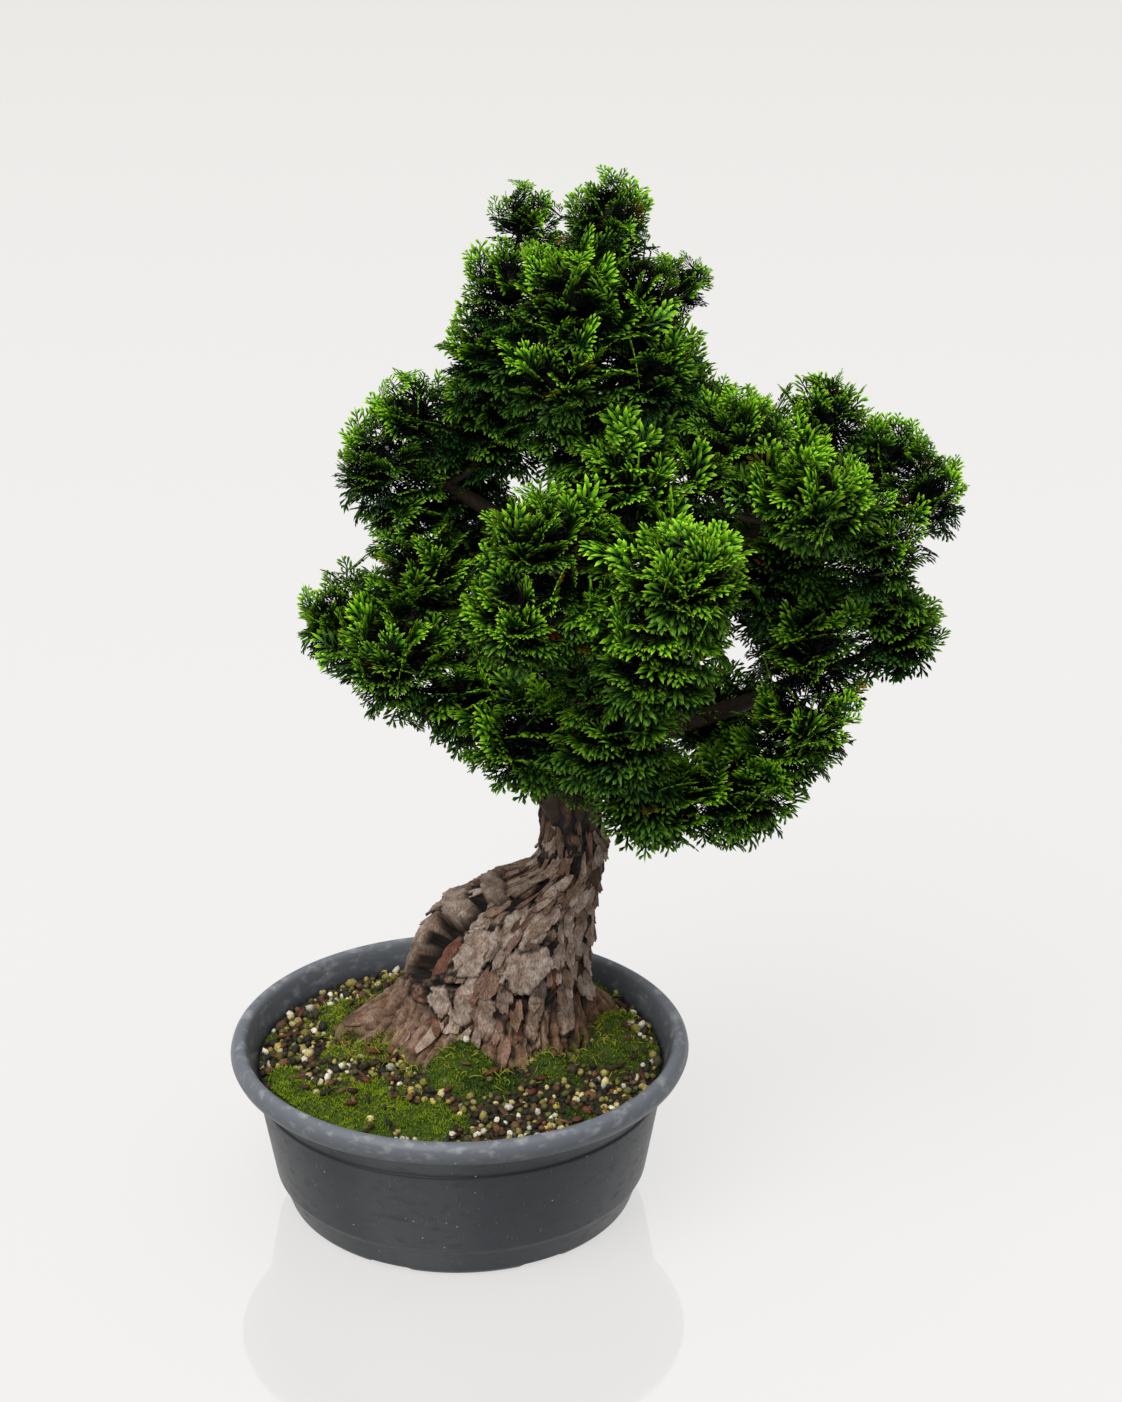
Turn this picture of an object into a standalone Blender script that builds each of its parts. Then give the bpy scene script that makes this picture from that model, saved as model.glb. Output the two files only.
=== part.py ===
"""Hinoki cypress bonsai in a round grey nursery pot, at its real size.

Metres, +Z up. The origin is the middle of the pot's underside, on the surface that the pot stands on.
The front of the tree is seen by looking along +Y. The pot, the grit soil, the wood and each clump of
foliage are separate pieces: a clump sits on the end of its own twig, which stands in a plain hole.
"""

import math
from dataclasses import dataclass

import bmesh
import bpy
import numpy as np
from mathutils import Vector
from mathutils.bvhtree import BVHTree

# Driving dimensions
POT_HEIGHT = 0.099
RIM_RADIUS = 0.130
WALL_SEGMENTS = 36
PIECE_GAP = 0.0003
SEED = 41

# The pot's outline as (radius, height), up its outer side, over the rolled rim and down inside
FOOT_RADIUS = 0.0955
LEDGE_HEIGHT = 0.0195
STEP_HEIGHT = 0.0722
FLOOR_HEIGHT = 0.0060
RIM_UNDERSIDE = 0.0840
OUTER_WALL = (
    (0.0, 0.0),
    (FOOT_RADIUS, 0.0),
    (0.0988, 0.0030),
    (0.1040, LEDGE_HEIGHT - 0.0018),
    (0.1060, LEDGE_HEIGHT),
    (0.1152, STEP_HEIGHT - 0.0010),
    (0.1140, STEP_HEIGHT),
    (0.1175, RIM_UNDERSIDE - 0.0004),
)
RIM_ROLL = (
    (0.1228, RIM_UNDERSIDE),
    (0.1280, 0.0870),
    (RIM_RADIUS, 0.0918),
    (0.1288, 0.0964),
    (0.1260, POT_HEIGHT),
    (0.1232, POT_HEIGHT),
    (0.1212, 0.0975),
)
INNER_WALL = (
    (0.1185, 0.0905),
    (0.1150, RIM_UNDERSIDE),
    (0.1112, 0.0700),
    (0.0995, 0.0130),
    (0.0965, FLOOR_HEIGHT),
    (0.0, FLOOR_HEIGHT),
)

# Drain channels across the underside, each with a hole
CHANNEL_COUNT = 7
CHANNEL_FIRST = math.radians(-61.1)
CHANNEL_DEPTH = 0.0030
CHANNEL_HALF_WIDTH = 0.0113
CHANNEL_SLOPE = 0.0020
CHANNEL_START = 0.040
CHANNEL_END = 0.112
DRAIN_RADIUS = 0.0045
DRAIN_PLACE = 0.060
DRAIN_SIDES = 8

# Grit soil, lower at the wall than under the trunk
SOIL_EDGE_HEIGHT = 0.0830
SOIL_RISE = 0.0060
SOIL_RINGS = 5
GRIT_RELIEF = 0.0014
MOSS_MOUNDS = (
    # x, y, radius, height
    (-0.055, -0.072, 0.030, 0.0060),
    (0.004, -0.046, 0.026, 0.0050),
    (0.052, -0.030, 0.018, 0.0060),
    (0.084, 0.000, 0.026, 0.0055),
    (-0.066, 0.040, 0.018, 0.0035),
)

# Level sections of the bole, from the crown of the roots to the foot of the leader
BOLE_SIDES = 18
BOLE_RINGS = 13
BOLE_SECTIONS = (
    # height, centre x, centre y, half width, half depth
    (0.0580, 0.0200, 0.0220, 0.0300, 0.0260),
    (0.0760, 0.0180, 0.0200, 0.0500, 0.0400),
    (0.0900, 0.0170, 0.0200, 0.0600, 0.0450),
    (0.1100, 0.0200, 0.0240, 0.0520, 0.0410),
    (0.1320, 0.0210, 0.0270, 0.0490, 0.0400),
    (0.1520, 0.0270, 0.0300, 0.0460, 0.0360),
    (0.1660, 0.0370, 0.0320, 0.0380, 0.0310),
    (0.1770, 0.0490, 0.0340, 0.0280, 0.0260),
    (0.1870, 0.0610, 0.0360, 0.0185, 0.0190),
    (0.2020, 0.0645, 0.0370, 0.0165, 0.0165),
    (0.2250, 0.0630, 0.0380, 0.0160, 0.0160),
    (0.2620, 0.0660, 0.0380, 0.0140, 0.0140),
)
ROOT_LOBES = (
    # direction in degrees, reach past the section, half width in degrees, height where it begins
    (184, 0.026, 15, 0.128),
    (232, 0.012, 16, 0.112),
    (287, 0.012, 13, 0.120),
    (22, 0.015, 17, 0.116),
    (78, 0.012, 18, 0.110),
    (135, 0.014, 18, 0.112),
)
ROOT_FULL_HEIGHT = 0.088
ROOT_FOOT_HEIGHT = 0.058
BARK_RELIEF = 0.035
BARK_RIDGES = 7
BARK_TWIST_PER_METRE = 60

# A direction that no limb runs along, to measure turns about a limb from
SIDEWAYS = np.array((0.31, 0.87, 0.38))


@dataclass(frozen=True)
class Limb:
    """A woody limb: its radius at each end, how finely it is made, and the points that it runs through."""

    name: str
    start_radius: float
    end_radius: float
    sides: int
    steps: int
    route: tuple


LIMBS = (
    Limb("leader", 0.0130, 0.0028, 8, 7, ((0.066, 0.038, 0.248), (0.072, 0.034, 0.320), (0.072, 0.026, 0.390),
                                          (0.068, 0.018, 0.460), (0.071, 0.013, 0.535))),
    Limb("left_low", 0.0085, 0.0030, 6, 4, ((0.064, 0.036, 0.205), (0.045, 0.022, 0.243),
                                            (0.006, -0.014, 0.303), (-0.028, -0.022, 0.345))),
    Limb("left_high", 0.0055, 0.0028, 6, 4, ((0.072, 0.034, 0.335), (0.036, 0.025, 0.388),
                                             (-0.002, 0.014, 0.420), (-0.020, 0.010, 0.435))),
    Limb("right_low", 0.0070, 0.0030, 6, 4, ((0.066, 0.038, 0.243), (0.110, 0.025, 0.272),
                                             (0.160, 0.000, 0.302), (0.200, -0.008, 0.326))),
    Limb("right_high", 0.0075, 0.0032, 6, 4, ((0.069, 0.037, 0.285), (0.118, 0.022, 0.350),
                                              (0.168, 0.000, 0.402), (0.212, -0.004, 0.420))),
    Limb("front", 0.0062, 0.0030, 6, 4, ((0.069, 0.036, 0.275), (0.072, -0.012, 0.322),
                                         (0.080, -0.055, 0.366), (0.084, -0.076, 0.392))),
    Limb("skirt", 0.0055, 0.0028, 6, 3, ((0.064, 0.036, 0.232), (0.078, -0.006, 0.262),
                                         (0.096, -0.042, 0.278), (0.112, -0.056, 0.282))),
    Limb("back_low", 0.0062, 0.0030, 6, 3, ((0.066, 0.037, 0.255), (0.078, 0.062, 0.300),
                                            (0.088, 0.078, 0.340), (0.092, 0.084, 0.372))),
    Limb("back_high", 0.0048, 0.0026, 6, 3, ((0.072, 0.030, 0.360), (0.072, 0.045, 0.410),
                                             (0.074, 0.052, 0.455), (0.076, 0.054, 0.488))),
)

# Twigs, one to a clump. Each grows from the place on a limb that costs it least to reach
BEARINGS = 17
FIRST_BEARING = 4
TWIG_SIDES = 3
TWIG_ROOT_RADIUS = 0.0026
TWIG_TIP_RADIUS = 0.0016
TWIG_RISE = 0.35
TWIG_SUNK = 0.35
TWIG_KNEE_SHARE = 0.4
TWIG_LEAST = 0.016
HANGING_COST = 1.2
STUB_COST = 3.0
TWIG_GAP = 0.0004

# Foliage clumps. Each is a bunch of cupped, fingered fans that stand out of a slim core on the end of a twig
CORE_SHARE = 0.42
SEAT_RADIUS = 0.0021
SEAT_CORNERS = 4
SMALL_CLUMP = 0.0285
FANS_ON_SMALL = 5
FANS_ON_LARGE = 6
RING_LEANS = (math.radians(60), math.radians(88))
FAN_FINGERS = 4
FINGER_STEP = math.radians(25)
FULL_REACH = 1.07
BLEND = 3.6
REACH_STEPS = np.linspace(1.0, 1.6, 13)
NOTCH_REACH = 0.72
UNEVENNESS = 0.14
ROOT_HALF_SHARE = 0.40
FAN_CUP = 0.045
FAN_THICKNESS = 0.0009
FACE_JITTER = 0.30
CELL_MARGIN = 0.0009
FAN_MARGIN = 0.0007


@dataclass(frozen=True)
class Clump:
    """One bunch of foliage: where its middle is, its half width and its half height."""

    name: str
    centre: tuple
    half_width: float
    half_height: float


CLUMPS = (
    # Crown
    Clump("crown_tip_left", (0.037, 0.015, 0.564), 0.016, 0.023),
    Clump("crown_tip_right", (0.082, 0.022, 0.562), 0.023, 0.027),
    Clump("crown_left", (0.031, 0.000, 0.534), 0.025, 0.026),
    Clump("crown_front", (0.063, -0.020, 0.530), 0.027, 0.026),
    Clump("crown_right", (0.098, 0.004, 0.526), 0.022, 0.026),
    Clump("crown_spur", (0.1235, 0.020, 0.530), 0.012, 0.017),
    Clump("crown_back", (0.070, 0.050, 0.524), 0.028, 0.028),
    # Below the crown
    Clump("upper_left", (0.020, -0.004, 0.498), 0.025, 0.027),
    Clump("upper_front", (0.056, -0.036, 0.494), 0.028, 0.027),
    Clump("upper_right", (0.100, -0.016, 0.492), 0.028, 0.027),
    Clump("upper_back_left", (0.034, 0.052, 0.480), 0.030, 0.030),
    Clump("upper_back_right", (0.106, 0.052, 0.478), 0.030, 0.030),
    Clump("mid_left", (0.024, 0.004, 0.455), 0.027, 0.030),
    Clump("mid_front", (0.068, -0.016, 0.456), 0.027, 0.025),
    Clump("mid_right", (0.124, 0.018, 0.460), 0.024, 0.025),
    # Left shoulder and left arm
    Clump("shoulder_top", (-0.022, 0.015, 0.457), 0.024, 0.026),
    Clump("shoulder_tip", (-0.040, 0.002, 0.436), 0.023, 0.026),
    Clump("shoulder_low", (-0.022, 0.010, 0.410), 0.027, 0.023),
    Clump("shoulder_back", (0.004, 0.060, 0.424), 0.031, 0.030),
    Clump("left_tip", (-0.060, -0.010, 0.352), 0.024, 0.032),
    Clump("left_front", (-0.030, -0.046, 0.346), 0.029, 0.034),
    Clump("left_top", (-0.016, -0.020, 0.380), 0.027, 0.027),
    Clump("left_low", (0.006, -0.030, 0.318), 0.028, 0.031),
    Clump("left_back", (-0.024, 0.034, 0.336), 0.031, 0.031),
    Clump("left_inner_back", (0.012, 0.062, 0.366), 0.031, 0.031),
    # Front
    Clump("front_left_top", (0.044, -0.082, 0.424), 0.029, 0.026),
    Clump("front_left_low", (0.036, -0.094, 0.384), 0.030, 0.032),
    Clump("centre_top", (0.092, -0.046, 0.438), 0.032, 0.028),
    Clump("front_right_top", (0.118, -0.098, 0.408), 0.036, 0.030),
    Clump("front_right_low", (0.108, -0.098, 0.364), 0.036, 0.029),
    # Skirt, the lowest row
    Clump("skirt_left", (0.040, -0.050, 0.300), 0.031, 0.033),
    Clump("skirt_front", (0.088, -0.082, 0.312), 0.032, 0.028),
    Clump("skirt_low", (0.108, -0.058, 0.268), 0.036, 0.024),
    Clump("skirt_right", (0.156, -0.048, 0.270), 0.029, 0.030),
    Clump("skirt_back_left", (0.030, 0.056, 0.302), 0.032, 0.031),
    Clump("skirt_back", (0.088, 0.074, 0.284), 0.034, 0.031),
    Clump("skirt_back_right", (0.146, 0.028, 0.280), 0.031, 0.029),
    # Right arm
    Clump("right_inner", (0.153, -0.014, 0.452), 0.026, 0.028),
    Clump("right_top", (0.197, 0.000, 0.464), 0.024, 0.024),
    Clump("right_back", (0.230, 0.022, 0.434), 0.023, 0.024),
    Clump("right_tip", (0.250, 0.002, 0.420), 0.023, 0.027),
    Clump("right_front", (0.188, -0.048, 0.432), 0.032, 0.027),
    Clump("right_under", (0.222, -0.022, 0.396), 0.028, 0.024),
    Clump("right_hollow", (0.170, 0.006, 0.378), 0.029, 0.032),
    Clump("right_back_high", (0.152, 0.060, 0.430), 0.033, 0.031),
    Clump("right_back_arm", (0.202, 0.052, 0.398), 0.031, 0.029),
    # Right lower arm
    Clump("low_right_tip", (0.234, -0.004, 0.345), 0.030, 0.026),
    Clump("low_right", (0.190, -0.018, 0.340), 0.030, 0.028),
    Clump("low_right_skirt", (0.184, -0.044, 0.305), 0.030, 0.028),
    Clump("low_right_back", (0.188, 0.048, 0.330), 0.031, 0.030),
    # Back
    Clump("back_high", (0.084, 0.092, 0.414), 0.036, 0.034),
    Clump("back_middle", (0.060, 0.100, 0.352), 0.036, 0.034),
    Clump("back_right", (0.136, 0.090, 0.352), 0.036, 0.034),
)
CLUMP_CENTRES = np.array([clump.centre for clump in CLUMPS])
CLUMP_SIZES = np.array([(clump.half_width, clump.half_width, clump.half_height) for clump in CLUMPS])


def clear_scene():
    """Removes whatever the scene already holds."""
    for old in list(bpy.data.objects):
        bpy.data.objects.remove(old)


def material(name, colour, roughness):
    """A plain dielectric of the piece's colour."""
    made = bpy.data.materials.new(name)
    made.use_nodes = True
    shader = made.node_tree.nodes["Principled BSDF"]
    shader.inputs["Base Color"].default_value = (*colour, 1.0)
    shader.inputs["Roughness"].default_value = roughness
    shader.inputs["Metallic"].default_value = 0.0
    return made


def link_mesh(name, mesh, finish=None):
    """Puts a mesh in the scene as one object."""
    made = bpy.data.objects.new(name, mesh)
    bpy.context.scene.collection.objects.link(made)
    if finish is not None:
        mesh.materials.append(finish)
    return made


def mesh_of(name, shape):
    """Turns a bmesh into a mesh whose faces point out."""
    bmesh.ops.recalc_face_normals(shape, faces=shape.faces)
    mesh = bpy.data.meshes.new(name)
    shape.to_mesh(mesh)
    shape.free()
    return mesh


def turned_mesh(name, outline):
    """Spins an outline that starts and ends on the axis once round it."""
    shape = bmesh.new()
    points = [shape.verts.new((radius, 0.0, height)) for radius, height in outline]
    edges = [shape.edges.new(pair) for pair in zip(points, points[1:])]
    bmesh.ops.spin(
        shape,
        geom=points + edges,
        cent=(0, 0, 0),
        axis=(0, 0, 1),
        angle=math.tau,
        steps=WALL_SEGMENTS,
        use_duplicate=False,
    )
    bmesh.ops.remove_doubles(shape, verts=shape.verts, dist=1e-5)
    return mesh_of(name, shape)


def cutter(name, mesh):
    """A shape that only cuts others, so it isn't part of the object."""
    made = link_mesh(name, mesh)
    made.hide_render = True
    made.display_type = "WIRE"
    return made


def cut(target, tool):
    """Cuts one closed shape out of another."""
    modifier = target.modifiers.new(f"cut_{tool.name}", "BOOLEAN")
    modifier.operation = "DIFFERENCE"
    modifier.object = tool
    return modifier


def drain_channels():
    """Seven sloping-sided grooves from near the middle of the underside out through its edge."""
    shape = bmesh.new()
    for index in range(CHANNEL_COUNT):
        angle = CHANNEL_FIRST + math.tau * index / CHANNEL_COUNT
        along = Vector((math.cos(angle), math.sin(angle), 0))
        across = Vector((-math.sin(angle), math.cos(angle), 0))
        corners = []
        for reach in (CHANNEL_START, CHANNEL_END):
            for level in (-1, 1):
                half = CHANNEL_HALF_WIDTH - level * CHANNEL_SLOPE
                height = Vector((0, 0, level * CHANNEL_DEPTH))
                for side in (-1, 1):
                    corners.append(shape.verts.new(along * reach + across * side * half + height))
        a, b, c, d, e, f, g, h = corners
        for face in ((a, b, d, c), (e, g, h, f), (a, c, g, e), (b, f, h, d), (c, d, h, g), (a, e, f, b)):
            shape.faces.new(face)
    return mesh_of("drain_channels", shape)


def drain_holes():
    """A round hole through the floor in each channel."""
    shape = bmesh.new()
    for index in range(CHANNEL_COUNT):
        angle = CHANNEL_FIRST + math.tau * index / CHANNEL_COUNT
        made = bmesh.ops.create_cone(
            shape,
            cap_ends=True,
            segments=DRAIN_SIDES,
            radius1=DRAIN_RADIUS,
            radius2=DRAIN_RADIUS,
            depth=4 * FLOOR_HEIGHT,
        )
        place = Vector((math.cos(angle), math.sin(angle), 0)) * DRAIN_PLACE
        bmesh.ops.translate(shape, verts=made["verts"], vec=place)
    return mesh_of("drain_holes", shape)


def build_pot(finish):
    """The moulded pot: tapered wall with a ledge, rolled rim, floor, drain channels and holes."""
    pot = link_mesh("pot", turned_mesh("pot", OUTER_WALL + RIM_ROLL + INNER_WALL), finish)
    cut(pot, cutter("drain_channels", drain_channels()))
    cut(pot, cutter("drain_holes", drain_holes()))
    pot.data.shade_smooth()
    pot.data.set_sharp_from_angle(angle=math.radians(35))
    return pot


def wall_radius(height):
    """The pot's inner radius at a height."""
    radii, heights = zip(*reversed(INNER_WALL[:-1]))
    return float(np.interp(height, heights, radii))


def soil_height(x, y, rng):
    """Height of the soil at a place: a low dome, the moss mounds, and the roughness of the grit."""
    away = min(1.0, math.hypot(x, y) / wall_radius(SOIL_EDGE_HEIGHT))
    height = SOIL_EDGE_HEIGHT + SOIL_RISE * (1 - away * away)
    for mound_x, mound_y, radius, rise in MOSS_MOUNDS:
        height += rise * math.exp(-((x - mound_x) ** 2 + (y - mound_y) ** 2) / radius**2)
    return height + GRIT_RELIEF * (2 * rng.random() - 1)


def build_soil(finish, trunk_tool):
    """The filling of grit and soil, which follows the pot's inside and has a hole for the trunk's foot."""
    rng = np.random.default_rng(SEED)
    shape = bmesh.new()
    corners = [math.tau * index / WALL_SEGMENTS for index in range(WALL_SEGMENTS)]

    def ring(radius, height=None):
        """A ring of points at one radius, on the soil's face or at a stated height."""
        made = []
        for angle in corners:
            x, y = radius * math.cos(angle), radius * math.sin(angle)
            made.append(shape.verts.new((x, y, soil_height(x, y, rng) if height is None else height)))
        return made

    def skin(first, second):
        """Joins two rings with a band of faces."""
        for index in range(WALL_SEGMENTS):
            after = (index + 1) % WALL_SEGMENTS
            shape.faces.new((first[index], first[after], second[after], second[index]))

    edge_radius = wall_radius(SOIL_EDGE_HEIGHT) - PIECE_GAP
    top = shape.verts.new((0, 0, soil_height(0, 0, rng)))
    rings = [ring(edge_radius * (step + 1) / SOIL_RINGS) for step in range(SOIL_RINGS - 1)]
    rings.append(ring(edge_radius, SOIL_EDGE_HEIGHT))
    for _, height in INNER_WALL[2:4]:
        rings.append(ring(wall_radius(height) - PIECE_GAP, height))
    floor = FLOOR_HEIGHT + PIECE_GAP
    rings.append(ring(wall_radius(floor) - PIECE_GAP, floor))
    for first, second in zip(rings, rings[1:]):
        skin(first, second)
    for index in range(WALL_SEGMENTS):
        after = (index + 1) % WALL_SEGMENTS
        shape.faces.new((top, rings[0][index], rings[0][after]))
    shape.faces.new(rings[-1])
    bmesh.ops.triangulate(shape, faces=shape.faces)
    soil = link_mesh("soil", mesh_of("soil", shape), finish)
    cut(soil, trunk_tool)
    return soil


def smooth_route(points, count):
    """Points evenly spread along a smooth curve that passes through the given ones."""
    rows = np.asarray(points, float)
    padded = np.vstack([2 * rows[0] - rows[1], rows, 2 * rows[-1] - rows[-2]])
    places = np.linspace(0, len(rows) - 1, count)
    index = np.minimum(places.astype(int), len(rows) - 2)
    t = (places - index)[:, None]
    a, b, c, d = (padded[index + shift] for shift in range(4))
    return 0.5 * (2 * b + (c - a) * t + (2 * a - 5 * b + 4 * c - d) * t**2 + (3 * b - a - 3 * c + d) * t**3)


def rise_and_fall(value):
    """Nought below 0, one above 1, and smooth between."""
    value = np.clip(value, 0.0, 1.0)
    return value * value * (3 - 2 * value)


def trunk_radius(angles, section):
    """Radius of the trunk all round one level section, with its root lobes and bark ridges."""
    height, _, _, half_width, half_depth = section
    radius = half_width * half_depth / np.hypot(half_depth * np.cos(angles), half_width * np.sin(angles))
    radius = radius * (1 + BARK_RELIEF * np.sin(BARK_RIDGES * angles + BARK_TWIST_PER_METRE * height))
    foot = rise_and_fall((height - ROOT_FOOT_HEIGHT) / (ROOT_FULL_HEIGHT - ROOT_FOOT_HEIGHT))
    for direction, reach, half_angle, top in ROOT_LOBES:
        turn = np.degrees(np.angle(np.exp(1j * (angles - math.radians(direction)))))
        share = foot * rise_and_fall((top - height) / (top - ROOT_FULL_HEIGHT))
        radius = radius + reach * share * np.exp(-((turn / half_angle) ** 2))
    return radius


def skinned(shape, rings):
    """Joins rings of points, bottom to top, into one closed skin with flat ends."""
    rows = [[shape.verts.new(point) for point in ring] for ring in rings]
    for low, high in zip(rows, rows[1:]):
        for index in range(len(low)):
            after = (index + 1) % len(low)
            shape.faces.new((low[index], low[after], high[after]))
            shape.faces.new((low[index], high[after], high[index]))
    shape.faces.new(list(reversed(rows[0])))
    shape.faces.new(rows[-1])


def bole_mesh(name, extra):
    """The bole as level sections joined up its height, fatter all round by the extra amount."""
    sections = smooth_route(BOLE_SECTIONS, BOLE_RINGS)
    angles = np.linspace(0, math.tau, BOLE_SIDES, endpoint=False)
    rings = []
    for section in sections:
        radius = trunk_radius(angles, section) + extra
        x = section[1] + radius * np.cos(angles)
        y = section[2] + radius * np.sin(angles)
        rings.append(np.column_stack([x, y, np.full(BOLE_SIDES, section[0])]))
    rings[0][:, 2] -= extra
    rings[-1][:, 2] += extra
    shape = bmesh.new()
    skinned(shape, rings)
    return mesh_of(name, shape)


def tube_mesh(name, route, start_radius, end_radius, sides, extra):
    """A tapered tube along a route, fatter and longer by the extra amount."""
    route = np.array(route, float)
    heading = np.gradient(route, axis=0)
    heading /= np.linalg.norm(heading, axis=1)[:, None]
    route[0] -= heading[0] * extra
    route[-1] += heading[-1] * extra
    across = np.cross(heading, SIDEWAYS)
    across /= np.linalg.norm(across, axis=1)[:, None]
    other = np.cross(heading, across)
    radii = np.linspace(start_radius, end_radius, len(route)) + extra
    angles = np.linspace(0, math.tau, sides, endpoint=False)
    round_it = np.cos(angles)[:, None] * across[:, None] + np.sin(angles)[:, None] * other[:, None]
    shape = bmesh.new()
    skinned(shape, route[:, None] + radii[:, None, None] * round_it)
    return mesh_of(name, shape)


def bearing_points():
    """Places on the limbs that a twig may grow from, each with the limb's radius there."""
    places = []
    for limb in LIMBS:
        points = smooth_route(limb.route, BEARINGS)
        radii = np.linspace(limb.start_radius, limb.end_radius, BEARINGS)
        places += list(zip(points, radii))[FIRST_BEARING:]
    return places


def core_radius(clump):
    """Radius of a clump's core."""
    return CORE_SHARE * min(clump.half_width, clump.half_height)


def twig_of(clump, places):
    """A clump's twig: its start, knee and tip, which is just clear of the core, and the way it points."""
    centre = np.array(clump.centre)

    def cost(place):
        """How unlikely a twig is to grow from a place: distance counts, and hanging or being a stub more."""
        offset = centre - place[0]
        length = np.linalg.norm(offset)
        return length + HANGING_COST * max(0.0, -offset[2]) + STUB_COST * max(0.0, TWIG_LEAST - length)

    bearing, radius = min(places, key=cost)
    away = (centre - bearing) / np.linalg.norm(centre - bearing)
    start = bearing - away * radius * TWIG_SUNK
    points = away + np.array((0.0, 0.0, TWIG_RISE))
    points /= np.linalg.norm(points)
    tip = centre - points * (core_radius(clump) + TWIG_GAP)
    knee = tip - points * np.linalg.norm(tip - start) * TWIG_KNEE_SHARE
    return (start, knee, tip), points


def united(name, parts):
    """One Boolean union of closed meshes, applied, with the separate pieces removed."""
    group = bpy.data.collections.new(f"{name}_pieces")
    bpy.context.scene.collection.children.link(group)
    for index, mesh in enumerate(parts[1:]):
        group.objects.link(bpy.data.objects.new(f"{name}_{index}", mesh))
    made = link_mesh(name, parts[0])
    modifier = made.modifiers.new("join", "BOOLEAN")
    modifier.operation = "UNION"
    modifier.operand_type = "COLLECTION"
    modifier.solver = "MANIFOLD"
    modifier.collection = group
    settle(made)
    for piece in list(group.objects):
        bpy.data.objects.remove(piece)
    bpy.data.collections.remove(group)
    keep_largest(made)
    return made


def settle(made):
    """Applies an object's modifiers."""
    bpy.context.view_layer.update()
    graph = bpy.context.evaluated_depsgraph_get()
    mesh = bpy.data.meshes.new_from_object(made.evaluated_get(graph))
    made.modifiers.clear()
    made.data = mesh
    made.data.materials.clear()


def wood_parts(extra):
    """The bole, limbs and twigs as closed meshes, all fatter by the extra amount."""
    parts = [bole_mesh("bole", extra)]
    for limb in LIMBS:
        points = smooth_route(limb.route, limb.steps + 1)
        parts.append(tube_mesh(limb.name, points, limb.start_radius, limb.end_radius, limb.sides, extra))
    places = bearing_points()
    for clump in CLUMPS:
        route, _ = twig_of(clump, places)
        name = f"twig_{clump.name}"
        parts.append(tube_mesh(name, route, TWIG_ROOT_RADIUS, TWIG_TIP_RADIUS, TWIG_SIDES, extra))
    return parts


def build_wood(finish):
    """The woody frame that grew as one piece, from the root crown to the ends of the twigs."""
    wood = united("wood", wood_parts(0.0))
    wood.data.materials.append(finish)
    return wood


def square_to(heading, rough):
    """The direction nearest to a rough one that is square to a heading."""
    square = rough - (rough @ heading) * heading
    return square / np.linalg.norm(square)


def fan_headings(clump, outward, turn):
    """Headings of a clump's fans: one straight out from the twig, the rest in a zigzag ring about it."""
    ring = (FANS_ON_SMALL if clump.half_width < SMALL_CLUMP else FANS_ON_LARGE) - 1
    across = square_to(outward, SIDEWAYS)
    other = np.cross(outward, across)
    headings = [outward]
    for index in range(ring):
        lean = RING_LEANS[index % 2]
        angle = turn + math.tau * index / ring
        level = math.cos(angle) * across + math.sin(angle) * other
        headings.append(math.cos(lean) * outward + math.sin(lean) * level)
    return headings


def clump_cell(clump):
    """The flat borders between a clump and its neighbours, as (direction, distance from its middle)."""
    centre = np.array(clump.centre)
    borders = []
    for other in CLUMPS:
        between = np.array(other.centre) - centre
        length = np.linalg.norm(between)
        if 0 < length < 2 * (clump.half_width + other.half_width):
            border = (length**2 + clump.half_width**2 - other.half_width**2) / (2 * length)
            borders.append((between / length, border - CELL_MARGIN))
    return borders


def fan_sector(heading, headings):
    """The flat borders between a fan and the others of its clump, all through the clump's middle."""
    return [(other - heading) / np.linalg.norm(other - heading) for other in headings if other is not heading]


def drawn_in(offset, heading, sector, cell):
    """An offset from the clump's middle, moved towards its fan's axis and then inwards until it is clear."""
    axis = (offset @ heading) * heading
    share = 1.0
    for border in sector:
        inside, reached = border @ axis, border @ offset
        if reached > -FAN_MARGIN:
            share = min(share, max(0.0, (-FAN_MARGIN - inside) / (reached - inside)))
    offset = axis + share * (offset - axis)
    for border, distance in cell:
        if border @ offset > distance:
            offset = offset * distance / (border @ offset)
    return offset


def own_reach(clump, way):
    """How far a clump's own rounded outline lies from its middle in one direction."""
    level = math.hypot(way[0], way[1])
    return 1 / math.hypot(level / clump.half_width, way[2] / clump.half_height)


def canopy_reach(clump, way):
    """How far the canopy's outline is from a clump's middle: its own reach, or more in a dip beside others.

    A clump weighs 1 on its own rounded outline and less further off. The canopy's is where all add up to 1.
    """
    own = own_reach(clump, way)
    points = np.array(clump.centre) + (REACH_STEPS * own)[:, None] * way
    offsets = (points[:, None] - CLUMP_CENTRES) / CLUMP_SIZES
    weights = np.exp(-BLEND * (np.linalg.norm(offsets, axis=2) - 1)).sum(axis=1)
    outside = np.flatnonzero(weights < 1)
    return own * REACH_STEPS[outside[0] if len(outside) else -1]


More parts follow.
